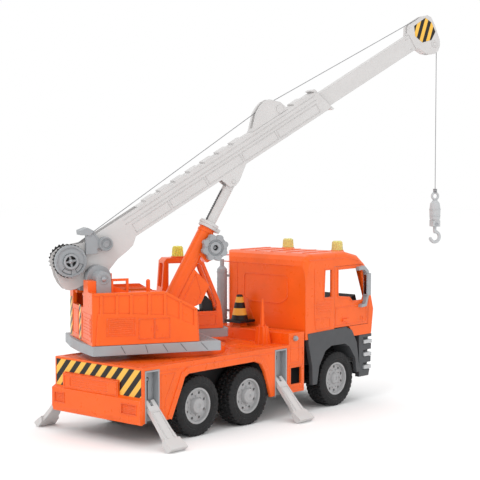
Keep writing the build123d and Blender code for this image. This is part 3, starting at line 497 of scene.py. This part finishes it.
# ---- tyres --------------------------------------------------------------------------------------------
def make_tyre(place, body):
    """Both tyres of an axle: staggered tread blocks with grooves between them, and ribbed shoulders."""
    low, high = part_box(place + "_tyres")
    centre_x, centre_z = (low.x + high.x) / 2 / MM, (low.z + high.z) / 2 / MM
    top = (high.z - low.z) / 2 / MM
    outer = high.y / MM
    width = 28.0
    mesh = bmesh.new()
    steps = 216
    # distance in from the outer face, radius below the tread's top, kind of surface
    section = [(2.0, 15.05, 0), (0.6, 13.0, 0), (0.0, 11.6, 0), (0.0, 9.4, 0), (0.5, 9.1, 0), (0.5, 8.5, 0),
               (0.0, 8.2, 0), (0.0, 6.4, 0), (0.2, 5.0, 1), (0.9, 2.2, 1), (2.0, 0.5, 1), (3.4, 0.0, 2),
               (6.4, 0.0, 2), (6.8, 1.6, 9), (7.8, 1.6, 9), (8.2, 0.0, 3), (12.6, 0.0, 3), (13.0, 1.6, 9)]
    mirrored = [(width - a, b, kind + 10 if kind in (1, 2, 3) else kind) for a, b, kind in reversed(section)]
    profile = section + mirrored
    for side in (1, -1):
        rings = []
        for i in range(steps):
            a = 2 * pi * i / steps
            ring = []
            for inset, drop, kind in profile:
                shift = 3 if kind >= 10 else 0
                base = kind % 10
                phase = (i + shift + (2 if base == 3 else 0)) % 6
                if base in (1, 2, 3) and phase in (0, 1) and drop < 6:
                    drop = drop + (1.5 if base != 1 else 0.9)
                r = top - drop
                ring.append(mesh.verts.new(Vector((centre_x + r * cos(a), side * (outer - inset),
                                                   centre_z + r * sin(a))) * MM))
            rings.append(ring)
        count = len(profile)
        for i in range(steps):
            here, there = rings[i], rings[(i + 1) % steps]
            for j in range(count):
                k = (j + 1) % count
                mesh.faces.new((here[j], here[k], there[k], there[j]))
    bmesh.ops.recalc_face_normals(mesh, faces=mesh.faces)
    data = bpy.data.meshes.new(place + "_tread")
    mesh.to_mesh(data)
    mesh.free()
    data.materials.append(rubber)
    for face in data.polygons:
        face.use_smooth = True
    data.set_sharp_from_angle(angle=radians(28))
    obj = bpy.data.objects.new(place + "_tyre_treads", data)
    bpy.context.scene.collection.objects.link(obj)
    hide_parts(place + "_tyres")
    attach(obj, body)


for axle in ("rear", "middle", "front"):
    make_tyre(axle, axle + "_wheels")


# ---- stickers -----------------------------------------------------------------------------------------
def add_stickers():
    """Diagonal black and yellow film on the rear panel, the housing's rear wall and the boom's head."""
    film = Piece("rear_hazard_film", TRUCK, "truck", rear_stripes)
    outline = [(75.5, 92.5), (-75.5, 92.5), (-75.5, 57), (-39, 57), (-39, 77.5), (60, 77.5), (60, 60),
               (75.5, 60)]
    film.prism(outline, "x", rear_panel_face - 0.25, rear_panel_face + 0.1)
    film.done(bevel=0)
    strips = Piece("housing_hazard_film", TURNTABLE, "superstructure", shell_stripes)
    for y0, y1, z1 in ((30.5, 41.5, 166), (-15, -5, 160)):
        strips.block(-129.25, -128.9, y0, y1, 117, z1)
    strips.done(bevel=0)
    head = Piece("head_hazard_film", BOOM, "telescope", head_stripes)
    outline = [(547, 45.5), (541.5, 33), (546.5, 20.5), (560, 16.5), (571, 23), (572.5, 36), (567.5, 46.5)]
    for y0, y1 in ((-8.85, -8.5), (8.5, 8.85)):
        head.prism(outline, "y", y0, y1)
    head.done(bevel=0)


# ---- chassis ------------------------------------------------------------------------------------------
def add_chassis_details():
    """Arch lips, edge beads, panel frames, the rear panel, deck ribs and the ribs of the cone post."""
    trim = Piece("chassis_trim", TRUCK, "truck", orange)
    lip = [(-92.5, 30), (-76, 64), (-69, 79.5), (-59.5, 84.3), (63, 85), (77, 80), (85, 68), (98, 32)]
    for side in (1, -1):
        low, high = sorted((side * 77.6, side * 79.0))
        trim.ribbon(lip, 7.5, "y", low, high)
        low, high = sorted((side * 77.6, side * 78.3))
        trim.ribbon([(-108, 88.5), (100, 88.5)], 1.3, "y", low, high)
        for frame_line, width in (
                ([(-105.5, 33), (-105.5, 84), (-82, 84), (-99, 52), (-99, 33)], 1.2),
                ([(129, 34), (129, 90), (160, 90), (160, 34)], 1.2),
                ([(133, 39), (133, 67), (159, 67), (159, 39)], 1.6),
                ([(134.8, 71), (134.8, 104), (152.5, 104), (152.5, 71)], 1.2)):
            trim.ribbon(frame_line, width, "y", low, high, closed=True)
    trim.done(bevel=0.35)
    panel = Piece("rear_panel_trim", TRUCK, "truck", orange)
    panel.ribbon([(-36, 59), (-36, 74.5), (57.5, 74.5), (57.5, 59)], 1.4, "x", -140.6, -139.9, closed=True)
    for z in (64.5, 67.3, 70):
        panel.block(-139.6, -138.9, -18, 44, z - 0.5, z + 0.5)
    for y0, y1 in ((-71.8, -47.7), (55.6, 72.9)):
        lamp_frame = [(y0 - 0.6, 39.4), (y0 - 0.6, 51.6), (y1 + 0.6, 51.6), (y1 + 0.6, 39.4)]
        panel.ribbon(lamp_frame, 1.0, "x", bumper_face - 0.7, bumper_face + 0.1, closed=True)
        for i in range(5):
            panel.block(bumper_face + 0.6, bumper_face + 1.3, y0 + 0.6, y1 - 0.6, 41 + i * 2, 42 + i * 2)
    panel.done(bevel=0.25)
    deck = Piece("deck_trim", TRUCK, "truck", orange)
    for y in (-70, 70):
        deck.block(-130, 126, y - 0.8, y + 0.8, deck_top - 0.2, deck_top + 0.6)
    octagon = [(-70, 0), (-50, -50), (0, -70), (50, -50), (70, 0), (50, 50), (0, 70), (-50, 50)]
    deck.ribbon(octagon, 1.6, "z", deck_top - 0.2, deck_top + 0.5, closed=True)
    for x0, x1, y0, y1 in ((72, 106, -66, -24), (72, 126, 10, 66)):
        plate = [(x0, y0), (x0, y1), (x1, y1), (x1, y0)]
        deck.ribbon(plate, 1.4, "z", deck_top - 0.2, deck_top + 0.7, closed=True)
    for i in range(6):
        deck.block(78 + i * 8, 81 + i * 8, 18, 58, deck_top - 0.2, deck_top + 0.7)
    deck.ribbon([(136, -60), (136, 60), (160, 60), (160, -60)], 1.2, "z", 109.8, 110.6, closed=True)
    deck.done(bevel=0.3)
    posts = Piece("cone_post_ribs", TRUCK, "truck", orange)
    x, y = cone_post_axis
    for i in range(4):
        a = pi / 2 * i
        foot = (x + 8.2 * cos(a), y + 8.2 * sin(a), deck_top)
        posts.rod(foot, (x + 5.6 * cos(a), y + 5.6 * sin(a), 121), 0.9)
    posts.done(bevel=0)


def screw(piece, at, out, radius=2.0):
    """Pan-head screw with a cross recess; out is the side of Y that it faces."""
    x, y, z = at
    profile = [(0, 0), (radius, 0), (radius, 0.5), (radius * 0.7, 1.0), (0, 1.1)]
    piece.lathe([(r, h * out) for r, h in profile], (x, y, z), "y", 20)
    for turn in (0, 1):
        half = (radius * 0.62, 0.22) if turn else (0.22, radius * 0.62)
        low, high = sorted((y + 0.8 * out, y + 1.25 * out))
        piece.block(x - half[0], x + half[0], low, high, z - half[1], z + half[1])


def add_rail_details():
    """Round keyhole and screw at the top of each outrigger rail, the keyhole a black disc as painted shade in the
    hole, and a bead along each of its edges.
    """
    # painted shade: a black disc stands for the shade inside each keyhole, round its screw
    holes = Piece("rail_keyhole_shade_discs", TRUCK, "truck", black)
    screws = Piece("rail_screws", TRUCK, "truck", steel)
    ribs = Piece("rail_beads", TRUCK, "truck", grey)
    keyhole_z = 79.4
    for x in rail_places.values():
        for side in (1, -1):
            y = side * 68.5
            low, high = sorted((side * -0.1, side * 0.25))
            holes.lathe([(0, low), (2.9, low), (2.9, high), (0, high)], (x, y, keyhole_z), "y", 24)
            screw(screws, (x, y + side * 0.2, keyhole_z), side, 1.7)
            low, high = sorted((y - side * 0.1, y + side * 0.8))
            for dx in (-8.9, 8.9):
                ribs.block(x + dx - 0.5, x + dx + 0.5, low, high, 31, 86)
    holes.done(bevel=0)
    screws.done(bevel=0)
    ribs.done(bevel=0.2)


def add_leg_details():
    """Long ribs on each leg's face and a rib across their top."""
    pivot_y, pivot_z = leg_pivot
    for place, x in rail_places.items():
        for name, side in (("left", 1), ("right", -1)):
            down = Vector((0, side * sin(leg_tilt), -cos(leg_tilt)))
            out = Vector((0, side * cos(leg_tilt), sin(leg_tilt)))
            leg = frame_matrix(down.cross(out), out, -down, Vector((x, side * pivot_y, pivot_z)) * MM)
            ribs = Piece(f"{place}_{name}_leg_ribs", leg, f"{place}_{name}_leg_body", white)
            for dx in (-6.0, 6.0):
                ribs.block(dx - 0.7, dx + 0.7, 2.4, 3.7, -50, -12)
            ribs.block(-6.6, 6.6, 2.4, 3.5, -13.2, -11.6)
            ribs.done(bevel=0.3)


# ---- truck cab ----------------------------------------------------------------------------------------
def add_cab_details():
    """Beads, embossed slats, window frames, roof ribs, door handles, mirror glass and headlamp frames."""
    shell = Piece("cab_trim", TRUCK, "truck", orange)
    back_panel = [(29.2, 148), (31.5, 152), (31.5, 179), (28, 183), (-43, 183), (-46.3, 180), (-46.3, 154),
                  (-42, 149.5), (-33.2, 144.8), (20, 144.8)]
    shell.ribbon(back_panel, 1.5, "x", 165.2, 166.1, closed=True)
    shell.ribbon([(26, 146.5), (14.1, 119.7)], 1.4, "x", 165.2, 166.1)
    shell.block(165.4, 166.1, 43.8, 45.0, 112, 196)
    shell.block(165.4, 166.1, -58, 70, 196.2, 197.6)
    for side in (1, -1):
        low, high = sorted((side * 77.6, side * 78.3))
        shell.ribbon([(185.5, 115), (185.5, 193)], 1.0, "y", low, high)
        window = [(205, 150.3), (207.3, 191), (224.3, 191), (224.3, 150.3)]
        shell.ribbon(window, 1.6, "y", low, high, closed=True)
        for i in range(5):
            shell.block(189, 222, low, high, 131 + i * 3.6, 132.8 + i * 3.6)
        shell.ribbon([(188.5, 110), (188.5, 124), (219, 124), (219, 110)], 1.3, "y", low, high, closed=True)
        shell.ribbon([(174, 204.3), (256, 204.3), (284, 198.5)], 1.4, "y", low, high)
    shell.done(bevel=0.25)
    roof = Piece("roof_ribs", TRUCK, "truck", orange)
    for y in (-56, -28, 0, 28, 56):
        roof.block(186, 250, y - 1.2, y + 1.2, 212.0, 213.4)
    roof.done(bevel=0.5)
    for name, side in (("left", 1), ("right", -1)):
        body = f"{name}_cab_door"
        door = Piece(f"{name}_door_trim", TRUCK, body, orange)
        low, high = sorted((side * 77.6, side * 78.5))
        window = [(236.2, 151.4), (236.2, 189.8), (289, 189.8), (299.8, 150.2), (294.8, 141.2),
                  (269.2, 141.2), (263.2, 147.2)]
        door.ribbon(window, 2.0, "y", low, high, closed=True)
        low, high = sorted((side * 77.6, side * 78.3))
        panel = [(232, 111.5), (232, 136), (262, 136), (302, 136), (302, 111.5)]
        door.ribbon(panel, 1.2, "y", low, high, closed=True)
        ring = [(2.2, 0), (3.4, 0), (3.4, 0.7), (2.2, 0.7)]
        door.lathe([(r, h * side) for r, h in ring], (291, side * 77.7, 117), "y", 24)
        door.done(bevel=0.25)
        handle = Piece(f"{name}_door_handle", TRUCK, body, orange)
        low, high = sorted((side * 78.2, side * 80.4))
        handle.prism([(246, 115.6), (246, 119.6), (259, 119.6), (261, 117.6), (259, 115.6)], "y", low, high)
        handle.done(bevel=0.8, segments=3)
        glass = Piece(f"{name}_mirror_glass", TRUCK, body, mirror_glass)
        low, high = sorted((side * 79.6, side * 85.0))
        glass.prism([(low, 151), (low, 178), (high, 178), (high, 151)], "x", 293.1, 293.7)
        glass.done(bevel=0.2)
    lamp = Piece("headlamp_rings", TRUCK, "truck", steel)
    for side in (1, -1):
        y0, y1 = sorted((side * 40, side * 62))
        lamp.ribbon([(y0, 52), (y0, 64), (y1, 64), (y1, 52)], 1.4, "x", 311.6, 312.8, closed=True)
    lamp.done(bevel=0.3)


def add_exhaust_details():
    """Perforated rows and bands of the silencer."""
    stack = Piece("exhaust_bands", TRUCK, "truck", grey)
    x, y = exhaust_axis
    for z in (118, 124, 182):
        stack.lathe([(6.9, -0.8), (7.6, -0.8), (7.6, 0.8), (6.9, 0.8)], (x, y, z), "z", 28)
    for i in range(12):
        a = 2 * pi * i / 12
        slot_x, slot_y = x + 6.8 * cos(a), y + 6.8 * sin(a)
        for j in range(10):
            z = 131 + j * 4.6
            stack.rod((slot_x, slot_y, z - 1.4), (slot_x, slot_y, z + 1.4), 0.6, 6)
    stack.done(bevel=0)


def add_beacon_details():
    """Lens ribs round each beacon and a collar at its foot."""
    rib_count = 14
    for name, place, body, centres, radius, paint in (
            ("roof_beacon", TRUCK, "truck", roof_beacons, 8.4, lens),
            ("operator_beacon", TURNTABLE, "superstructure", operator_beacon, 8.2, lens_strong)):
        ribs = Piece(name + "_ribs", place, body, paint)
        collar = Piece(name + "_collar", place, body, orange)
        for x, y, z in centres:
            for i in range(rib_count):
                a = 2 * pi * i / rib_count
                low, high = radius - 0.8, radius - 1.5
                foot = (x + low * cos(a), y + low * sin(a), z + 3)
                ribs.rod(foot, (x + high * cos(a), y + high * sin(a), z + 13), 0.45, 8)
            profile = [(radius - 0.2, 0), (radius + 0.8, 0), (radius + 0.8, 1.2), (radius - 0.2, 1.8)]
            collar.lathe(profile, (x, y, z), "z", 36)
        ribs.done(bevel=0)
        collar.done(bevel=0.2)


# ---- superstructure -----------------------------------------------------------------------------------
ledge_line = [(-122, 154.5), (-80, 152.8), (-32, 149.3), (3, 133.9)]
rim_line = [(-127, 177.2), (-38, 177.2), (3.4, 154.6)]


def height_on(line, f):
    """Height of a line of points above one place along it."""
    for (f0, z0), (f1, z1) in zip(line, line[1:]):
        if f <= f1:
            return z0 + (z1 - z0) * (f - f0) / (f1 - f0)
    return line[-1][1]


def add_housing_details():
    """Handrail posts, louvres, doors and the bulged lower panel of the engine housing's long walls."""
    for name, wall, side in (("right", -70.0, -1), ("left", 42.0, 1)):
        panel = Piece(f"housing_{name}_panel", TURNTABLE, "superstructure", orange)
        low, high = sorted((wall - side * 0.1, wall + side * 1.4))
        outline = [(-125, 115.4), *[(max(f, -125), z) for f, z in ledge_line], (5.6, 115.4)]
        panel.prism(outline, "y", low, high)
        panel.done(bevel=0.5, segments=3)
        rails = Piece(f"housing_{name}_railing", TURNTABLE, "superstructure", orange)
        low, high = sorted((wall - side * 0.1, wall + side * 1.5))
        rails.ribbon(rim_line, 3.2, "y", low, high)
        for f in (-117.7, -98.3, -80.4, -57.6, -37.7, -17.6, 1.4):
            top, bottom = height_on(rim_line, f), height_on(ledge_line, f)
            post = [(f - 1.9, bottom - 4), (f - 1.9, top), (f + 1.9, top), (f + 1.9, bottom - 4)]
            rails.prism(post, "y", low, high)
        rails.done(bevel=0.45)
        doors = Piece(f"housing_{name}_doors", TURNTABLE, "superstructure", orange)
        face = wall + side * 1.4
        low, high = sorted((face - side * 0.1, face + side * 0.7))
        doors.ribbon([(-111, 127), (-111, 147.5), (-76, 147.5), (-76, 127)], 1.2, "y", low, high, closed=True)
        for i in range(7):
            doors.block(-108.5, -78.5, low, high, 129.2 + i * 2.5, 130.7 + i * 2.5)
        for f0, f1 in ((-71, -51.9), (-50.7, -32)):
            doors.ribbon([(f0, 122), (f0, 146), (f1, 146), (f1, 122)], 0.9, "y", low, high, closed=True)
        for f in (-54.5, -48):
            doors.block(f - 0.7, f + 0.7, low, high, 131, 137)
        doors.done(bevel=0.22)
    top = Piece("housing_top_trim", TURNTABLE, "superstructure", orange)
    for y0, y1 in ((-64, -20), (20, 37)):
        top.ribbon([(-70, y0), (-70, y1), (-36, y1), (-36, y0)], 1.3, "z", 174.8, 175.8, closed=True)
    for i in range(6):
        top.block(-66 + i * 5, -64 + i * 5, -61, -48, 174.8, 176.0)
    top.done(bevel=0.25)
    rear = Piece("housing_rear_trim", TURNTABLE, "superstructure", orange)
    rear.ribbon([(-66, 120), (-66, 152), (-22, 152), (-22, 120)], 1.3, "x", -129.6, -128.9, closed=True)
    for i in range(6):
        rear.block(-129.6, -128.9, -61, -27, 125 + i * 4, 127.2 + i * 4)
    rear.ribbon([(0, 122), (0, 152), (26, 152), (26, 122)], 1.2, "x", -129.5, -128.9, closed=True)
    rear.done(bevel=0.25)


def add_platform_details():
    """Slanting groove lines on the platform's edges in dark grey as painted shade in the grooves, tread ribs on
    its deck and the anchor plates.
    """
    # painted shade: thin dark grey lines stand for the shade in the slanting grooves
    groove_shade_lines = Piece("platform_groove_shade", TURNTABLE, "superstructure", dark_grey)
    for side in (1, -1):
        low, high = sorted((side * 72.4, side * 72.62))
        for f_top, f_low in ((-93.9, -88.5), (-63.3, -60.2), (-41, -34.7), (-18.6, -10.5), (8, 17)):
            groove_shade_lines.ribbon([(f_top, 114), (f_low, 104.5)], 0.7, "y", low, high)
    groove_shade_lines.done(bevel=0)
    tread = Piece("platform_tread", TURNTABLE, "superstructure", grey)
    for i in range(5):
        tread.block(10 + i * 4.6, 12 + i * 4.6, -66, 30, 114.9, 115.7)
    for i in range(3):
        tread.block(80.6 + i * 2.4, 81.8 + i * 2.4, 52, 70, 114.9, 115.6)
    tread.ribbon([(-131, -20), (-131, 20), (-124, 70)], 1.2, "z", 114.9, 115.6)
    tread.done(bevel=0.25)


def add_operator_cab_details():
    """Window beads, a door line and the dark levers of the crane driver's place."""
    trim = Piece("operator_cab_trim", TURNTABLE, "superstructure", orange)
    for y0, y1 in ((45.9, 46.6), (71.4, 72.1)):
        window = [(2.4, 136.4), (2.4, 204.6), (44.6, 204.6), (50.4, 201), (71.6, 148.4), (71.6, 136.4)]
        trim.ribbon(window, 1.6, "y", y0, y1, closed=True)
        trim.ribbon([(2, 120), (2, 133), (70, 133), (70, 120)], 1.1, "y", y0, y1, closed=True)
    trim.done(bevel=0.25)
    levers = Piece("operator_levers", TURNTABLE, "superstructure", black)
    for y in (54.5, 59, 63.5):
        levers.rod((58, y, 152), (52, y, 166), 0.9, 12)
        levers.lathe([(0, 0), (1.4, 0.4), (2.0, 1.8), (1.4, 3.2), (0, 3.6)], (52, y, 165.4), "z", 16)
    levers.done(bevel=0)


# ---- boom and ram -------------------------------------------------------------------------------------
def add_boom_details():
    """Raised panel frames along the boom's sides, rings on its head and rings and screws on its pivot."""
    lines = Piece("boom_panel_lines", BOOM, "boom", white)
    for side in (1, -1):
        low, high = sorted((side * 10.4, side * 11.0))
        for u0, u1 in ((74, 128), (131, 185), (188, 242), (245, 299), (302, 368)):
            lines.ribbon([(u0, 18.5), (u0, 30), (u1, 30), (u1, 18.5)], 0.8, "y", low, high, closed=True)
        lines.ribbon([(66, 34.5), (372, 34.5)], 0.8, "y", low, high)
        lines.ribbon([(66, 40.5), (372, 40.5)], 0.8, "y", low, high)
    lines.done(bevel=0.2)
    inner = Piece("inner_boom_lines", BOOM, "telescope", white)
    for side in (1, -1):
        low, high = sorted((side * 7.5, side * 7.9))
        for v in (20.5, 35.5):
            inner.ribbon([(526, v), (530, v)], 0.8, "y", low, high)
    inner.done(bevel=0)
    nose = Piece("boom_head_rings", BOOM, "telescope", white)
    for side in (1, -1):
        ring = [(2.6, 0), (4.4, 0), (4.4, 0.9), (2.6, 0.9)]
        nose.lathe([(r, h * side) for r, h in ring], (561.3, side * 8.55, 9.4), "y", 32)
    nose.done(bevel=0.2)
    rings = Piece("pivot_rings", TURNTABLE, "superstructure", grey)
    screws = Piece("pivot_screws", TURNTABLE, "superstructure", steel)
    pivot_x, pivot_z = boom_pivot_at
    for side, wall in ((-1, -50.0), (1, 42.0)):
        ring = [(5.2, -0.2), (6.6, -0.2), (6.6, 0.6), (5.2, 0.6)]
        rings.lathe([(r, h * side) for r, h in ring], (pivot_x, wall, pivot_z), "y", 32)
        screw(screws, (pivot_x, wall + side * 1.2, pivot_z), side, 2.6)
    rings.done(bevel=0.15)
    screws.done(bevel=0)


def add_winch_details():
    """Black ring of painted shade in the recessed hub, crank windows outlined in dark grey as painted shade, ribs,
    the toothed ring and the rings of the ratchet lever.
    """
    u, v = winch_axis
    # painted shade: a black ring stands for the shade in the hub's recess
    hub = Piece("winch_hub_recess_shade", BOOM, "winch", black)
    hub.lathe([(3.05, -18.9), (6.7, -18.9), (6.7, -18.3), (3.05, -18.3)], (u, 0, v), "y", 36)
    hub.done(bevel=0)
    # painted shade: dark grey outlines stand for the shade along the windows' edges
    windows = Piece("winch_window_shade_outlines", BOOM, "winch", dark_grey)
    frames = Piece("winch_disc_ribs", BOOM, "winch", grey)
    for degrees_round in (195, 268):
        turns = [radians(degrees_round) + 0.16 * i for i in range(6)]
        arc_out = [(u + 15.8 * cos(a), v + 15.8 * sin(a)) for a in turns]
        arc_in = [(u + 11.2 * cos(a), v + 11.2 * sin(a)) for a in turns]
        windows.ribbon(arc_out + arc_in[::-1], 0.55, "y", -21.5, -21.1, closed=True)
    for r, foot, y in ((10.2, -0.6, -21.3), (18.4, -0.5, -23.0)):
        profile = [(r - 0.4, foot), (r + 0.4, foot), (r + 0.4, 0.2), (r - 0.4, 0.2)]
        frames.lathe(profile, (u, y, v), "y", 48)
    windows.done(bevel=0)
    frames.done(bevel=0.12)
    ratchet = Piece("winch_ratchet_ring", BOOM, "winch", black)
    tooth_count, ring_near, ring_far = 24, 11.2, 14.4
    ring = [(13.0, ring_near), (18.6, ring_near), (18.6, ring_far), (13.0, ring_far)]
    ratchet.lathe(ring, (u, 0, v), "y", 72)
    for i in range(tooth_count):
        a, step = 2 * pi * i / tooth_count, 2 * pi / tooth_count
        tooth = [(18.3, a), (20.0, a + 0.12 * step), (20.0, a + 0.3 * step), (18.3, a + 0.75 * step)]
        ratchet.prism([(u + r * cos(t), v + r * sin(t)) for r, t in tooth], "y", ring_near, ring_far)
    ratchet.done(bevel=0.1)
    screws = Piece("winch_axle_screw", BOOM, "winch", steel)
    screw(screws, (u, -22.0, v), -1, 2.2)
    screws.done(bevel=0)
    lever = Piece("ratchet_lever_rings", BOOM, "lever", grey)
    for r in (3.2, 7.7):
        profile = [(r - 0.5, -0.7), (r + 0.5, -0.7), (r + 0.5, 0.2), (r - 0.5, 0.2)]
        lever.lathe(profile, (30.9, -19.0, 28.7), "y", 40)
    lever.ribbon([(17, 50), (25, 47.5), (25.6, 38)], 1.0, "y", -17.1, -16.4)
    lever.done(bevel=0.2)


def add_ram_details():
    """Rack teeth on the rod, coloured dark grey as painted shade for the shadowed gap along it, seams of the gear
    housing, the collar's ring and the knob's centre and ribs.
    """
    # painted shade: the rack teeth and backing strip are dark grey for the shadowed gap along the rod; the rack
    # itself is real
    rack = Piece("ram_rack_teeth", RAM, "ram_rod_body", dark_grey)
    rack.block(-5.75, -5.4, -3.1, 3.1, -127, -15)
    tooth_count, tooth_pitch = 37, 3
    for i in range(tooth_count):
        z = -125.5 + i * tooth_pitch
        rack.prism([(-5.6, z - 1.1), (-6.8, z - 0.4), (-6.8, z + 0.4), (-5.6, z + 1.1)], "y", -3.0, 3.0)
    rack.done(bevel=0)
    barrel = Piece("ram_barrel_seams", RAM, "ram_barrel_body", orange)
    for side in (1, -1):
        low, high = sorted((side * 8.9, side * 9.6))
        gear_housing = [(12, -128), (30, -146), (31, -163), (19, -176), (12, -176)]
        barrel.ribbon(gear_housing, 1.1, "y", low, high, closed=True)
        barrel.rod((31.5, side * 8.8, -150), (31.5, side * 9.9, -150), 1.8)
    barrel.lathe([(9.9, 0), (10.8, 0), (10.8, 3), (9.9, 3)], (0, 0, -74), "z", 48)
    barrel.done(bevel=0.25)
    ring = Piece("ram_collar_ring", RAM, "ram_barrel_body", white)
    ring.lathe([(12.5, 0), (13.3, 0.5), (13.3, 2.2), (12.5, 2.7)], (0, 0, -64.4), "z", 48)
    ring.done(bevel=0.2)
    x, z = knob_axis
    knob = Piece("luff_knob_centre", RAM, "knob", black)
    knob.lathe([(0, -17.6), (3.5, -17.6), (3.5, -17.1), (0, -17.1)], (x, 0, z), "y", 28)
    knob.done(bevel=0)
    ribs = Piece("luff_knob_ribs", RAM, "knob", grey)
    ribs.lathe([(8.6, -0.5), (9.4, -0.5), (9.4, 0.3), (8.6, 0.3)], (x, -20.0, z), "y", 40)
    for i in range(8):
        a = 2 * pi * (i + 0.5) / 8
        near, far = [(x + r * cos(a), -21.6, z + r * sin(a)) for r in (11.6, 14.4)]
        ribs.rod(near, far, 0.5, 8)
    ribs.done(bevel=0)


def add_hook_details():
    """Wraps of rope at the knot, the block's seam and its axle caps."""
    knot = Piece("rope_knot_wraps", FALL, "block", rope_material)
    for z in (294.6, 295.9, 297.2, 298.5):
        knot.lathe([(1.6, -0.6), (2.5, -0.6), (2.9, 0), (2.5, 0.6), (1.6, 0.6)], (0, 0, z), "z", 20)
    knot.done(bevel=0)
    weight = Piece("hook_block_seams", FALL, "block", light_grey)
    for z, r in ((262, 7.3), (271, 7.6)):
        profile = [(r - 0.3, -0.7), (r + 0.35, -0.7), (r + 0.35, 0.7), (r - 0.3, 0.7)]
        weight.lathe(profile, (0, 0, z), "z", 36)
    weight.done(bevel=0.15)
    caps = Piece("hook_axle_caps", FALL, "block", steel)
    for side in (1, -1):
        screw(caps, (0, side * 6.4, 250.5), side, 2.2)
    caps.done(bevel=0)


add_stickers()
add_chassis_details()
add_rail_details()
add_leg_details()
add_cab_details()
add_exhaust_details()
add_beacon_details()
add_housing_details()
add_platform_details()
add_operator_cab_details()
add_boom_details()
add_winch_details()
add_ram_details()
add_hook_details()

# ---- stage --------------------------------------------------------------------------------------------
camera_data = bpy.data.cameras.new("camera")
camera_data.lens = 100.577
camera_data.sensor_width = 36.0
camera_data.clip_start, camera_data.clip_end = 0.05, 60.0
camera = bpy.data.objects.new("camera", camera_data)
bpy.context.scene.collection.objects.link(camera)
camera.location = (-1.220656, -1.199407, 0.338990)
azimuth, pitch = radians(41.78166), radians(3.4266)
heading = Vector((cos(azimuth) * cos(pitch), sin(azimuth) * cos(pitch), -sin(pitch)))
camera.rotation_euler = heading.to_track_quat("-Z", "Y").to_euler()
bpy.context.scene.camera = camera


def make_floor():
    """Pale round floor under a white sky."""
    radius, steps = 8.0, 64
    n = Nodes("pale_floor")
    spots = n.remap(n.noise(6, 4, 0.6), 0.3, 0.7, 0.0, 1.0)
    n.link(n.mix(spots, (0.985, 0.985, 0.985), (1.0, 1.0, 1.0)), n.shader.inputs["Base Color"])
    n.shader.inputs["Roughness"].default_value = 1.0
    n.shader.inputs["Specular IOR Level"].default_value = 0.0
    mesh = bmesh.new()
    mesh.faces.new([mesh.verts.new((radius * cos(2 * pi * i / steps), radius * sin(2 * pi * i / steps), 0))
                    for i in range(steps)])
    data = bpy.data.meshes.new("studio_floor")
    mesh.to_mesh(data)
    mesh.free()
    data.materials.append(n.material)
    floor = bpy.data.objects.new("studio_floor", data)
    bpy.context.scene.collection.objects.link(floor)


def make_light(name, location, target, size, power):
    data = bpy.data.lights.new(name, "AREA")
    data.shape = "DISK"
    data.size = size
    data.energy = power
    light = bpy.data.objects.new(name, data)
    light.location = location
    light.rotation_euler = (Vector(target) - Vector(location)).to_track_quat("-Z", "Y").to_euler()
    bpy.context.scene.collection.objects.link(light)


make_floor()
make_light("key", (-2.2, -0.6, 2.4), (0, 0, 0.2), 1.3, 17)
make_light("fill", (0.6, -2.8, 1.6), (0, 0, 0.2), 2.2, 4)
make_light("top", (0.2, 0.3, 3.2), (0, 0, 0), 2.4, 9)
world = bpy.data.worlds.new("studio")
bpy.context.scene.world = world
world.use_nodes = True
world.node_tree.nodes["Background"].inputs["Color"].default_value = (1.0, 1.0, 1.0, 1)
world.node_tree.nodes["Background"].inputs["Strength"].default_value = 1.0
bpy.context.scene.view_settings.view_transform = "Standard"
